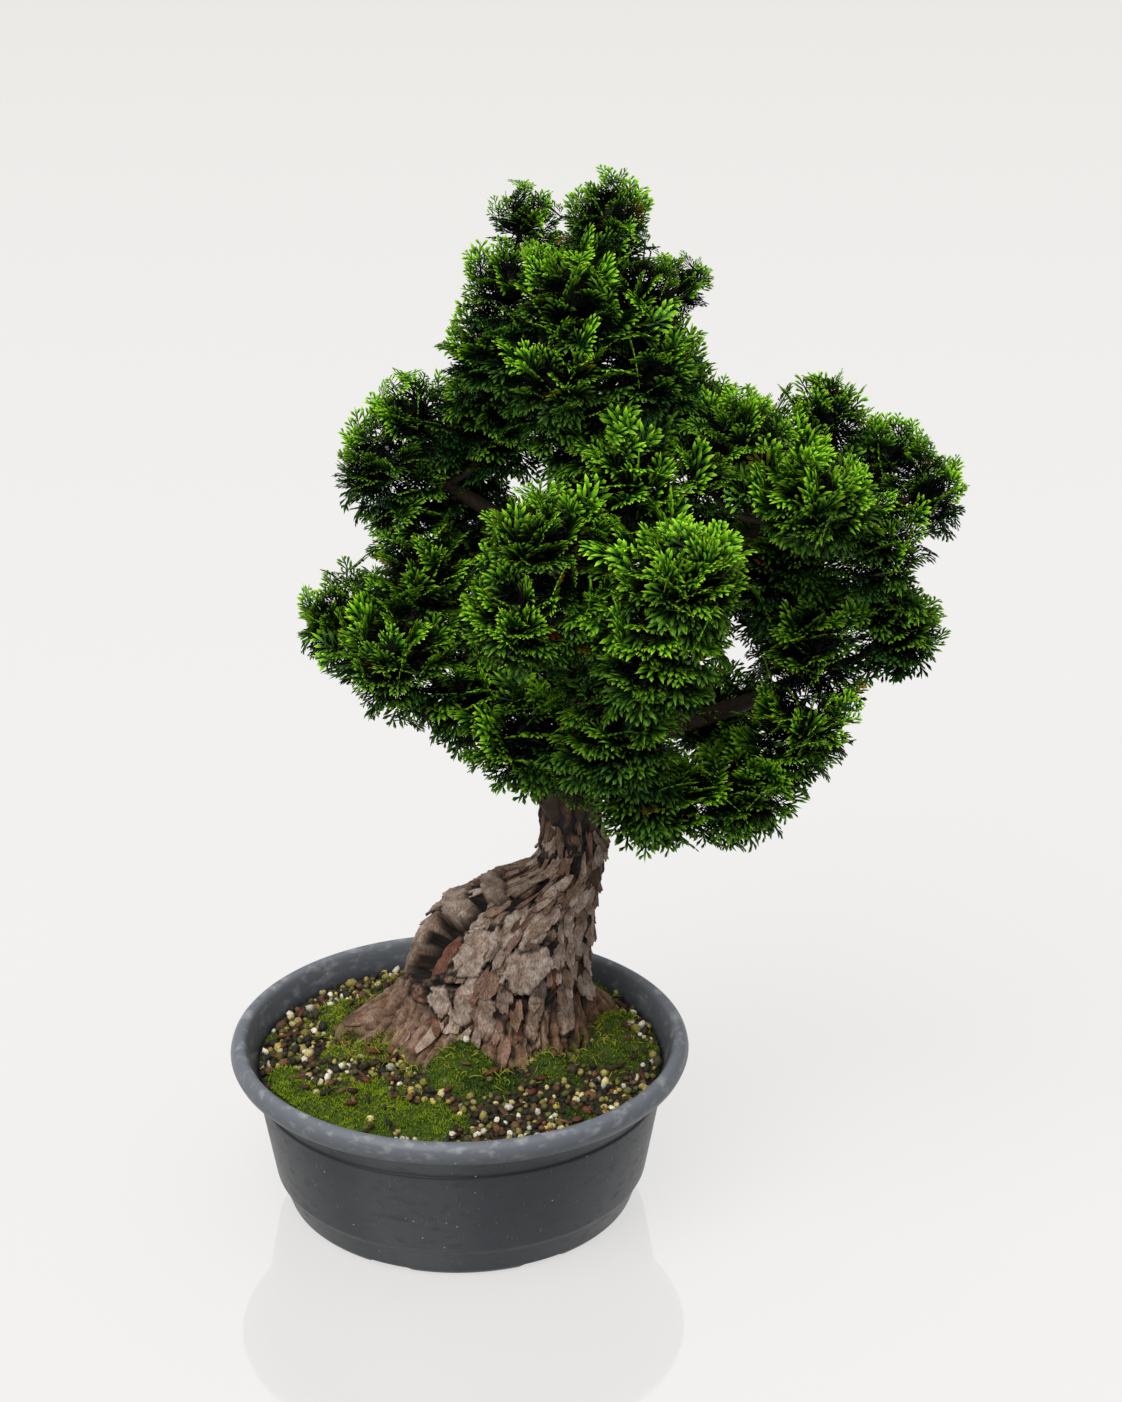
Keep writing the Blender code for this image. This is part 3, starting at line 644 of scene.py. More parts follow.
@dataclass(frozen=True)
class CypressBark:
    """Old cypress bark: weathered grey-brown plates, red-brown fibre where they peeled, black cracks partly
    painted as shade.
    """

    # Near black: cracks, crevices and the painted shade in them
    crack: str = "#090503"
    fibre: str = "#54361F"
    plate: str = "#8E6D52"
    aged: str = "#B09886"
    weathered: str = "#ECDED4"
    fresh: str = "#8C5440"
    algae: str = "#5A6426"

    def build(self) -> Material:
        """Builds the material.

        Returns:
            The material.
        """
        make = Shading.start("weathered_cypress_bark")
        crack_and_shade_share, pale, red, tone = make.mark("bark")
        # Bark fibres are about 0.4 mm wide and run up the trunk; they are drawn at 0.9 mm so that they show.
        upright = make.place((1.0, 1.0, 0.3))
        fibres = make.node("TexNoise", {"Vector": upright, "Scale": 1 / 0.0009, "Detail": 3.0})
        blotch = make.node("TexNoise", {"Vector": make.place(), "Scale": 1 / 0.006, "Detail": 4.0})
        stops = (0.0, self.fibre), (0.45, self.plate), (1.0, self.aged)
        plate = make.node("ValToRGB", {"Fac": tone}, stops=stops)
        share = make.node("Math", (pale, 0.85), **PRODUCT)
        plate = make.node("Mix", {FACTOR: share, A: plate, B: self.weathered}, RESULT, **BLEND)
        share = make.node("Math", (red, 0.8), **PRODUCT)
        plate = make.node("Mix", {FACTOR: share, A: plate, B: self.fresh}, RESULT, **BLEND)
        streak = make.node("ValToRGB", {"Fac": fibres}, stops=((0.34, "#9A8470"), (0.60, "#FFFFFF")))
        plate = make.node("Mix", {FACTOR: 0.7, A: plate, B: streak}, RESULT, **SHADE)
        cloud = make.node("ValToRGB", {"Fac": blotch}, stops=((0.36, "#A28A74"), (0.60, "#FFFFFF")))
        plate = make.node("Mix", {FACTOR: 0.65, A: plate, B: cloud}, RESULT, **SHADE)
        colour = make.node("Mix", {FACTOR: crack_and_shade_share, A: plate, B: self.crack}, RESULT, **BLEND)
        # Algae tints the foot, where the bark stays damp, in the lowest 12 mm above the soil.
        patchy = make.node("Math", (blotch, 0.9), **PRODUCT)
        damp = make.node("Math", (make.span("Z", 0.100, 0.088, 0.8), patchy), **PRODUCT)
        colour = make.node("Mix", {FACTOR: damp, A: colour, B: self.algae}, RESULT, **BLEND)
        fine, coarse = (make.node("Math", pair, **PRODUCT) for pair in ((fibres, 0.6), (blotch, 0.4)))
        grain = make.node("Math", (fine, coarse), **SUM)
        return make.finish({"Base Color": colour, "Roughness": 0.82}, grain, 0.0012)


@dataclass(frozen=True)
class TwigBark:
    """Young limbs and twigs: thin, smooth, dark brown bark with paler flecks of about 3 mm."""

    bark: str = "#2C2018"
    fleck: str = "#46321F"

    def build(self) -> Material:
        """Builds the material.

        Returns:
            The material.
        """
        make = Shading.start("young_cypress_bark")
        upright = make.place((1.0, 1.0, 0.4))
        flecks = make.node("TexNoise", {"Vector": upright, "Scale": 1 / 0.003, "Detail": 4.0})
        colour = make.node("ValToRGB", {"Fac": flecks}, stops=((0.35, self.bark), (0.7, self.fleck)))
        return make.finish({"Base Color": colour, "Roughness": 0.75}, flecks, 0.0006)


@dataclass(frozen=True)
class CypressLeaf:
    """Living scale-leaf sprays: waxy, mid green, yellow-green at the tips, with painted light and painted
    shade.
    """

    # Near black: the painted shade deep among the clumps
    inner: str = "#020602"
    root: str = "#081C05"
    middle: str = "#2A5F08"
    bright: str = "#90DA1C"
    tip: str = "#E8FF58"
    shade: str = "#2C682C"
    old: str = "#A0501C"

    def build(self) -> Material:
        """Builds the material.

        Returns:
            The material.
        """
        make = Shading.start("hinoki_scale_leaf")
        along, tone, depth, age = make.mark("leaf")
        # Tone picks between painted light (sunny) and painted shade (shady); the near-black roots are partly
        # painted shade
        stops = (0.0, self.root), (0.50, self.middle), (0.78, self.bright), (1.0, self.tip)
        sunny = make.node("ValToRGB", {"Fac": along}, stops=stops)
        stops = (0.0, self.inner), (0.65, self.root), (1.0, self.shade)
        shady = make.node("ValToRGB", {"Fac": along}, stops=stops)
        colour = make.node("Mix", {FACTOR: tone, A: shady, B: sunny}, RESULT, **BLEND)
        # Depth paints near-black shade deep among the clumps and over their cores
        colour = make.node("Mix", {FACTOR: depth, A: colour, B: self.inner}, RESULT, **BLEND)
        colour = make.node("Mix", {FACTOR: age, A: colour, B: self.old}, RESULT, **BLEND)
        return make.finish({"Base Color": colour, "Roughness": 0.5, "Specular IOR Level": 0.10})


@dataclass(frozen=True)
class OpalAcrylic:
    """The studio's floor: a polished sheet of opal acrylic that glows by itself, as painted light, to keep
    shadows faint.
    """

    near: str = "#FFFEFD"
    far: str = "#F2F1EE"
    unlit: str = "#8A8A8A"
    glow: float = 0.62

    def build(self) -> Material:
        """Builds the material.

        Returns:
            The material.
        """
        make = Shading.start("polished_opal_acrylic")
        # The glow falls off gently from just in front of the pot to 4 m behind it.
        away = make.span("Y", -0.4, 4.0)
        colour = make.node("ValToRGB", {"Fac": away}, stops=((0.0, self.near), (1.0, self.far)))
        surface = make.node("Mix", {FACTOR: 1.0, A: colour, B: self.unlit}, RESULT, **SHADE)
        values = {"Base Color": surface, "Emission Color": colour, "Emission Strength": self.glow}
        return make.finish({**values, "Roughness": 0.04, "IOR": 2.3, "Specular IOR Level": 1.0})


# The pot and its filling


@dataclass
class NurseryPot:
    """A turned pan with a rolled rim, a ledge near the foot and drain channels across the underside."""

    columns: int = 240
    corner: float = 0.0016
    corner_steps: int = 4
    outer: Sequence[tuple[float, float]] = (
        # Radius and height, from the middle of the underside up to the rim
        (0.0, 0.0), (0.034, 0.0), (0.040, 0.0), (0.043, 0.0), (0.060, 0.0), (0.080, 0.0), (0.0955, 0.0),
        (0.0988, 0.0030), (0.1040, 0.0177), (0.1060, 0.0195), (0.1152, 0.0712), (0.1140, 0.0722),
        (0.1175, 0.0836),
    )
    rim: Sequence[tuple[float, float]] = (
        (0.1228, 0.0840), (0.1280, 0.0870), (0.1300, 0.0918), (0.1288, 0.0964), (0.1260, 0.0990),
        (0.1232, 0.0990), (0.1212, 0.0975),
    )
    inner: Sequence[tuple[float, float]] = (
        (0.1185, 0.0905), (0.1150, 0.0840), (0.1112, 0.0700), (0.0995, 0.0130), (0.0965, 0.0060),
        (0.0, 0.0060),
    )
    channels: int = 7
    first_channel: float = math.radians(-61.1)
    channel_depth: float = 0.0030
    channel_half_width: float = 0.0113
    channel_slope: float = 0.0020
    channel_start: float = 0.040
    hole_radius: float = 0.0045
    hole_place: float = 0.060

    def profile(self) -> Array:
        """Works out the outline, with each corner eased by a short parabola.

        Formula: the corner, plus (1 - t) squared times the way back to the cut before it, plus t squared
        times the way on to the cut after it.

        Returns:
            Rows of radius and height.
        """
        rows = np.array([*self.outer, *self.rim, *self.inner])
        ways = rows[:-2] - rows[1:-1], rows[2:] - rows[1:-1]
        cuts = [np.minimum(self.corner / np.linalg.norm(way, axis=1), 0.45)[:, None] * way for way in ways]
        t = np.linspace(0, 1, self.corner_steps)[None, :, None]
        eased = rows[1:-1, None] + (1 - t) ** 2 * cuts[0][:, None] + t**2 * cuts[1][:, None]
        return np.vstack([rows[:1], eased.reshape(-1, 2), rows[-1:]])

    def inner_radius(self, height: float) -> float:
        """Returns the radius of the inside wall at a height."""
        rows = np.array(self.inner[::-1])[1:]
        return float(np.interp(height, rows[:, 1], rows[:, 0]))

    def channel_floor(self, radius: Array, angle: Array) -> Array:
        """Works out how high the channels raise the underside.

        Formula: the full depth within half a channel's width of its middle line, and a smooth fall to nothing
        over a slope's width beyond.

        Args:
            radius: Distance from the pot's axis.
            angle: Angle about it.

        Returns:
            The height that the underside is raised to.
        """
        step = math.tau / self.channels
        turn = (angle - self.first_channel + step / 2) % step - step / 2
        aside = np.abs(radius * np.sin(turn))
        across = 1 - smoothstep(0, self.channel_slope, aside - self.channel_half_width)
        return self.channel_depth * across * smoothstep(0, 0.003, radius - self.channel_start)

    def build(self, finish: Material) -> Piece:
        """Makes the pot by turning its outline, raising its channels and cutting its drain holes.

        Args:
            finish: The pot's material.

        Returns:
            The pot.
        """
        rows = self.profile()
        angle = full_turn(self.columns)
        radius, height = rows[1:-1, 0, None], rows[1:-1, 1, None]
        # The channels raise the underside and the foot, as far as the ledge
        low = np.arange(len(radius))[:, None] < self.corner_steps * (len(self.outer) - 4)
        floor = np.where(low, self.channel_floor(radius, angle[None]), 0.0)
        x, y = radius * np.cos(angle), radius * np.sin(angle)
        points = np.stack([x, y, np.maximum(height, floor)], -1).reshape(-1, 3)
        points = np.vstack([points, (0, 0, rows[0, 1]), (0, 0, rows[-1, 1])])
        made = put_mesh("moulded_pot", points, capped_grid(len(radius), self.columns), finish)
        self.cut_holes(made)
        return settle(made, "pot_plastic", "pot")

    def cut_holes(self, made: Piece) -> None:
        """Cuts a round drain hole through the roof of each channel.

        Args:
            made: The pot, whose mesh is replaced by the cut one.
        """
        angle = self.first_channel + np.arange(self.channels) * math.tau / self.channels
        routes = np.zeros((self.channels, 2, 3))
        routes[:, :, 0] = self.hole_place * np.cos(angle)[:, None]
        routes[:, :, 1] = self.hole_place * np.sin(angle)[:, None]
        routes[:, :, 2] = (-0.01, 0.012)
        points, faces = tubes(routes, np.full((self.channels, 2), self.hole_radius), 20)
        tool = put_mesh("hole_cutters", points, faces, made.data.materials[0])
        cut = made.modifiers.new("holes", "BOOLEAN")
        cut.object, cut.solver, cut.operation = tool, "MANIFOLD", "DIFFERENCE"
        bpy.context.view_layer.update()
        graph = bpy.context.evaluated_depsgraph_get()
        mesh = bpy.data.meshes.new_from_object(made.evaluated_get(graph))
        made.modifiers.clear()
        made.data = mesh
        bpy.data.objects.remove(tool)


@dataclass(frozen=True)
class MossPatch:
    """A patch of moss: where it is, how wide and high it swells, and how fresh or dry it looks."""

    x: float
    y: float
    radius: float
    height: float
    tone: float = 0.8
    dryness: float = 0.0


@dataclass(frozen=True)
class GrainKind:
    """A kind of loose grain: its piece's name, how level it lies from 0 to 1, its salt and its colours."""

    name: str
    level: float
    salt: int
    tints: tuple[str, ...]


@dataclass
class SoilBed:
    """The filled surface of the pot: the bed itself, its moss, grit, bark chips and dry strands."""

    pot: NurseryPot
    trunk: "Trunk"
    edge_height: float = 0.083
    rise: float = 0.006
    patches: Sequence[MossPatch] = tuple(MossPatch(*row) for row in (
        # X, Y, radius, height, tone, dryness
        (-0.058, -0.074, 0.036, 0.0070, 0.95), (-0.092, -0.056, 0.018, 0.0020, 0.85),
        (-0.014, -0.086, 0.019, 0.0030, 0.80), (0.006, -0.042, 0.027, 0.0080, 0.26),
        (0.000, -0.026, 0.011, 0.0130, 0.14), (0.052, -0.034, 0.013, 0.0140, 0.60),
        (0.086, -0.004, 0.026, 0.0070, 0.26, 0.15), (0.082, 0.032, 0.020, 0.0050, 0.60, 0.10),
        (-0.066, 0.040, 0.020, 0.0035, 0.65, 0.20), (-0.052, -0.012, 0.014, 0.0060, 0.95, 0.70),
        (-0.070, -0.006, 0.011, 0.0020, 0.80, 0.30), (-0.098, -0.030, 0.010, 0.0015, 0.70),
        (0.020, 0.086, 0.026, 0.0030, 0.60, 0.10), (-0.034, 0.078, 0.018, 0.0020, 0.50, 0.30),
        (0.072, 0.070, 0.018, 0.0020, 0.60),
    ))
    grit: GrainKind = GrainKind("grit_grains", 0.0, 3, (
        "#CDBA6A", "#8A8438", "#50491F", "#5A5536", "#EBDC9C", "#30281A", "#7A5534", "#FFFBE6", "#2A261C",
        "#6E7438", "#BEB05A", "#3A3622",
    ))
    chip: GrainKind = GrainKind("bark_chips", 0.86, 5, (
        "#5E3220", "#4C2C1E", "#6E3C26", "#3A2820", "#86603E",
    ))
    grain_radius: float = 0.0021
    grain_limits: tuple[float, float] = (0.0012, 0.0042)
    spacing: float = 0.0040
    row_share: float = 0.866
    stray_share: float = 0.035
    chips: int = 90
    strands: int = 300
    strand_radii: tuple[float, float] = (0.00034, 0.00020)
    crumb_height: float = 0.0007
    crumb_width: float = 0.0035
    cushion_height: float = 0.0030
    cushion_width: float = 0.0080
    shoots: int = 14500
    shoot_radius: float = 0.00042
    shoot_lengths: tuple[float, float] = (0.0013, 0.0029)
    foot_level: float = 0.091
    foot_start: float = 0.0885
    foot_climb: float = 0.0105
    foot_shoots: int = 3800
    rings: int = 56
    columns: int = 180

    @property
    def edge_radius(self) -> float:
        """Radius of the bed where it meets the wall."""
        return self.pot.inner_radius(self.edge_height) - PIECE_GAP

    def swell(self, x: Array, y: Array) -> Array:
        """Works out how strongly each moss patch reaches each place.

        Formula: a bell curve, 1 in the patch's middle.

        Args:
            x: Places along X.
            y: Places along Y.

        Returns:
            The patches' reach at each place, on a last axis of its own.
        """
        rows = np.array([(patch.x, patch.y, patch.radius) for patch in self.patches])
        apart = (x[..., None] - rows[:, 0]) ** 2 + (y[..., None] - rows[:, 1]) ** 2
        return np.exp(-apart / rows[:, 2] ** 2)

    def height(self, x: Array, y: Array) -> Array:
        """Height of the bed: a low dome, a bell-shaped mound for each moss patch, and crumbs of about 1 mm.

        Args:
            x: Places along X.
            y: Places along Y.

        Returns:
            The height at each.
        """
        dome = self.edge_height + self.rise * (1 - (x**2 + y**2) / self.edge_radius**2)
        mounds = self.swell(x, y) @ np.array([patch.height for patch in self.patches])
        crumbs = self.crumb_height * rolling(on_plane(x, y) / self.crumb_width, 11)
        return dome + mounds + self.cushions(x, y) + crumbs

    def cushions(self, x: Array, y: Array) -> Array:
        """Height of the soft cushions, up to 3 mm high and about 8 mm wide, that the moss swells into."""
        near = smoothstep(0.15, 0.6, self.swell(x, y).max(-1))
        swells = rolling(on_plane(x, y) / self.cushion_width, 13)
        return self.cushion_height * near * smoothstep(-0.45, 0.45, swells)

    def cover(self, x: Array, y: Array) -> Array:
        """Works out how far moss covers each place: the patches and stray tufts, with a ragged border.

        Args:
            x: Places along X.
            y: Places along Y.

        Returns:
            The cover at each, from 0 to 1.
        """
        places = on_plane(x, y)
        ragged = 0.16 * rolling(places / 0.007, 21) + 0.14 * rolling(places / 0.0028, 22)
        tufts = 0.50 * smoothstep(0.25, 0.60, rolling(places / 0.011, 23))
        return smoothstep(0.36, 0.52, np.maximum(self.swell(x, y).max(-1), tufts) + ragged)

    def build(self, finish: Material) -> Piece:
        """Makes the bed: its floor and side lie along the pot, and its top follows the height formula.

        Args:
            finish: The bed's material.

        Returns:
            The piece.
        """
        angle = full_turn(self.columns)
        heights = np.array((0.0063, 0.0130, 0.0700))
        wall = [self.pot.inner_radius(height) - PIECE_GAP for height in heights]
        radius = np.array([*wall, *(self.edge_radius * (self.rings - np.arange(self.rings)) / self.rings)])
        x, y = radius[:, None] * np.cos(angle), radius[:, None] * np.sin(angle)
        z = self.height(x, y)
        z[: len(wall)] = heights[:, None]
        z[len(wall)] = self.edge_height
        poles = [(0, 0, heights[0]), (0, 0, self.height(np.zeros(1), np.zeros(1))[0])]
        points = np.vstack([np.stack([x, y, z], -1).reshape(-1, 3), poles])
        marks = marks_of(len(points), self.cover(points[:, 0], points[:, 1]))
        made = put_mesh("potting_bed", points, capped_grid(len(radius), self.columns), finish, {"bed": marks})
        return settle(made, "grit_soil", "soil")

    def open_ground(self, x: Array, y: Array, margin: float) -> Array:
        """Tells which places lie inside the pot and clear of the trunk's foot.

        Args:
            x: Places along X.
            y: Places along Y.
            margin: How far clear of the foot, in metres.

        Returns:
            True or false for each place.
        """
        beside, behind = x - self.trunk.foot[0], y - self.trunk.foot[1]
        angle = np.arctan2(behind, beside)
        foot = self.trunk.radius(angle, np.full(angle.shape, self.foot_level))
        return (np.hypot(x, y) < self.edge_radius - 0.0012) & (np.hypot(beside, behind) > foot + margin)

    def build_moss(self, finish: Material) -> Piece:
        """Makes the moss: slim three-sided shoots, each a closed spike that leans a little, on bed and roots.

        Formula: on the bed they stand up. On the roots they stand square to the trunk's skin, up to a border
        that random swells carry up and down within the lowest 10 mm or so.

        Args:
            finish: The moss material.

        Returns:
            The piece.
        """
        rng = np.random.default_rng(SEED + 1)
        x, y = rng.uniform(-self.edge_radius, self.edge_radius, (2, self.shoots * 9))
        kept = np.flatnonzero((self.cover(x, y) > 0.45) & self.open_ground(x, y, -0.0015))[: self.shoots]
        x, y = x[kept], y[kept]
        bed = np.stack([x, y, self.height(x, y) - 0.0004], -1)
        angle = rng.uniform(0, math.tau, self.foot_shoots * 3)
        level = rng.uniform(self.foot_start, self.foot_start + self.foot_climb, angle.size)
        skin, away = self.trunk.skin(angle, level), self.trunk.normals(angle, level)
        border = 0.0895 + self.foot_climb * (0.42 + 0.75 * rolling(skin / (0.011, 0.011, 0.10), 24))
        kept = np.flatnonzero(level < border)[: self.foot_shoots]
        foot = np.vstack([bed, skin[kept] + 0.0006 * away[kept]])
        count = len(foot)
        upright = np.vstack([np.broadcast_to(UPWARDS, bed.shape), unit(away[kept] + 0.8 * UPWARDS)])
        lean = unit(upright + rng.normal(0, 0.45, foot.shape))
        # One shoot in ten is nearly twice as long
        length = (rng.uniform(*self.shoot_lengths, count) * (1 + 0.8 * (rng.random(count) > 0.9)))[:, None]
        turn = rng.uniform(0, math.tau, count)[:, None] + full_turn(3)
        first = square_to(lean, np.broadcast_to(SIDEWAYS, lean.shape))
        circle = circling(turn, first, np.cross(lean, first))
        points = [foot[:, None] + self.shoot_radius * circle, (foot + lean * length)[:, None]]
        template = np.array([(0, 1, 3), (1, 2, 3), (2, 0, 3), (2, 1, 0)])
        x, y = foot[:, 0], foot[:, 1]
        strongest = self.swell(x, y).argmax(-1)
        tone = np.array([patch.tone for patch in self.patches])[strongest] + rng.normal(0, 0.22, count)
        tone = tone + 200 * (self.cushions(x, y) - 0.0015) + 0.25 * rolling(foot / 0.009, 25)
        dry = np.array([patch.dryness for patch in self.patches])[strongest] * rng.random(count) * 1.3
        dry = dry + (rng.random(count) > 0.97)
        each = [np.repeat(np.clip(part, 0, 1), 4) for part in (tone, dry)]
        marks = marks_of(4 * count, np.tile((0, 0, 0, 1), count), *each)
        faces = [repeated(template, 4, count)]
        made = put_mesh("moss_shoots", np.concatenate(points, axis=1), faces, finish, {"shoot": marks})
        return settle(made, "grit_soil", "soil")

    def grains(self, kind: GrainKind, places: Array, sizes: Array, finish: Material) -> Piece:
        """Makes loose grains: icosahedra with corners pushed in and out at random, each turned its own way.

        Formula: a random unit quaternion of scalar w and vector q turns a corner v to
        v + 2 w (q x v) + 2 q x (q x v).

        Args:
            kind: The kind of grain.
            places: The grains' middles.
            sizes: Half length, half width and half thickness of each.
            finish: The material.

        Returns:
            The piece.
        """
        rng = np.random.default_rng(SEED + kind.salt)
        gold = (1 + math.sqrt(5)) / 2
        rows = [(-1, gold, 0), (1, gold, 0), (-1, -gold, 0), (1, -gold, 0)]
        corners = unit(np.array([np.roll(row, shift) for shift in range(3) for row in rows], float))
        triples = np.array(list(combinations(range(12), 3)))
        sides = np.linalg.norm(corners[triples] - corners[np.roll(triples, 1, axis=1)], axis=-1)
        # Neighbours lie 1.05 apart and all other corners at least 1.7, so this keeps the solid's 20 faces
        triples = triples[(sides < 1.2).all(1)]
        outwards = np.linalg.det(corners[triples]) > 0
        triples = np.where(outwards[:, None], triples, triples[:, ::-1])
        count = len(places)
        shape = corners * rng.uniform(0.74, 1.14, (count, 12, 1)) * sizes[:, None]
        tilt = 1 - kind.level
        spin = unit(rng.normal(0, 1, (count, 4)) * np.array([1, tilt, tilt, 1]))[:, None]
        cross = 2 * np.cross(spin[..., 1:], shape)
        points = places[:, None] + shape + spin[..., :1] * cross + np.cross(spin[..., 1:], cross)
        palette = np.array([linear(tint) for tint in kind.tints])
        tint = palette[rng.integers(0, len(palette), count)] * rng.uniform(0.55, 1.40, (count, 1))
        marks = np.repeat(tint, 12, axis=0)
        made = put_mesh(kind.name, points, [repeated(triples, 12, count)], finish, {"tint": marks})
        return settle(made, "grit_soil", "soil")

    def build_grit(self, finish: Material) -> Piece:
        """Makes the grit: grains of 3 to 6 mm on a jittered honeycomb, wherever moss leaves room.

        Args:
            finish: The grit's material.

        Returns:
            The piece.
        """
        rng = np.random.default_rng(SEED + 2)
        count = int(2 * self.edge_radius / self.spacing) + 2
        column, row = np.meshgrid(np.arange(count), np.arange(int(count / self.row_share)))
        x = (column + 0.5 * (row % 2)) * self.spacing - self.edge_radius
        y = row * self.spacing * self.row_share - self.edge_radius
        x, y = (part.ravel() + rng.normal(0, 0.30 * self.spacing, part.size) for part in (x, y))
        stray = rng.random(x.size) < self.stray_share
        kept = self.open_ground(x, y, 0.0008) & ((self.cover(x, y) < 0.40) | stray)
        x, y = x[kept], y[kept]
        size = rng.lognormal(math.log(self.grain_radius), 0.26, x.size).clip(*self.grain_limits)
        sizes = size[:, None] * rng.uniform(0.65, 1.15, (x.size, 3))
        places = np.stack([x, y, self.height(x, y) + size * rng.uniform(0.1, 0.9, x.size)], -1)
        return self.grains(self.grit, places, sizes, finish)

    def build_chips(self, finish: Material) -> Piece:
        """Makes the bark chips: long flat grains of 8 to 14 mm that lie on the grit.

        Args:
            finish: The chips' material.

        Returns:
            The piece.
        """
        rng = np.random.default_rng(SEED + 4)
        x, y = rng.uniform(-self.edge_radius, self.edge_radius, (2, 400))
        inside = self.open_ground(x, y, 0.004) & (np.hypot(x, y) < self.edge_radius - 0.006)
        kept = np.flatnonzero(inside)[: self.chips]
        x, y = x[kept], y[kept]
        ranges = ((0.0038, 0.0072), (0.0014, 0.0026), (0.0007, 0.0013))
        sizes = np.stack([rng.uniform(low, high, x.size) for low, high in ranges], -1)
        places = np.stack([x, y, self.height(x, y) + 0.0024], -1)
        return self.grains(self.chip, places, sizes, finish)

    def build_strands(self, finish: Material) -> Piece:
        """Makes the dry strands: thin curled stems among the moss.

        Formula: a strand is the sum of short steps, each turned from the last by the strand's own steady bend
        and a little chance, and each climbing less than the last.

        Args:
            finish: The moss material.

        Returns:
            The piece.
        """
        rng = np.random.default_rng(SEED + 6)
        count, steps = self.strands, 8
        around = rng.uniform(0, math.tau, count)
        away = self.trunk.radius(around, np.full(count, self.foot_level)) + rng.gamma(2.0, 0.009, count)
        x, y = self.trunk.foot[0] + away * np.cos(around), self.trunk.foot[1] + away * np.sin(around)
        inside = np.hypot(x, y) < self.edge_radius - 0.008
        x, y = x[inside], y[inside]
        count = x.size
        bend = rng.normal(0, 0.42, (count, 1)) + 0.12 * rng.normal(0, 1, (count, steps))
        heading = rng.uniform(0, math.tau, (count, 1)) + np.cumsum(bend, axis=1)
        climb = 0.9 - np.linspace(0, 1.7, steps)[None] + 0.2 * rng.normal(0, 1, (count, 1))
        step = rng.uniform(0.0007, 0.0014, (count, 1, 1))
        moves = np.stack([np.cos(heading), np.sin(heading), climb], -1) * step
        start = np.stack([x, y, self.height(x, y) + 0.0006], -1)
        radii = np.broadcast_to(np.linspace(*self.strand_radii, steps), (count, steps))
        points, faces = tubes(start[:, None] + np.cumsum(moves, axis=1), radii, 3)
        tone = np.repeat(rng.random(count), steps * 3)
        dry = np.repeat(rng.uniform(0.2, 1.0, count), steps * 3)
        marks = marks_of(len(points), 0.8, tone, dry)
        made = put_mesh("dry_strands", points, faces, finish, {"shoot": marks})
        return settle(made, "grit_soil", "soil")


# The wood


class Bark(Enum):
    """What shows at a mark on the trunk: how pale it is, how red and how dark, the dark being painted shade.
    """

    PLATE = (1.0, 0.0, 0.0)
    AGED = (0.45, 0.0, 0.0)
    FIBRE = (0.0, 1.0, 0.0)
    SHADED_CREVICE = (0.0, 0.3, 1.0)


@dataclass(frozen=True)
class TrunkMark:
    """A single large plate, ledge or hollow: its place, half sizes, lean, lift off the trunk and face."""

    angle: float
    height: float
    half_across: float
    half_along: float
    lean: float
    lift: float
    face: Bark


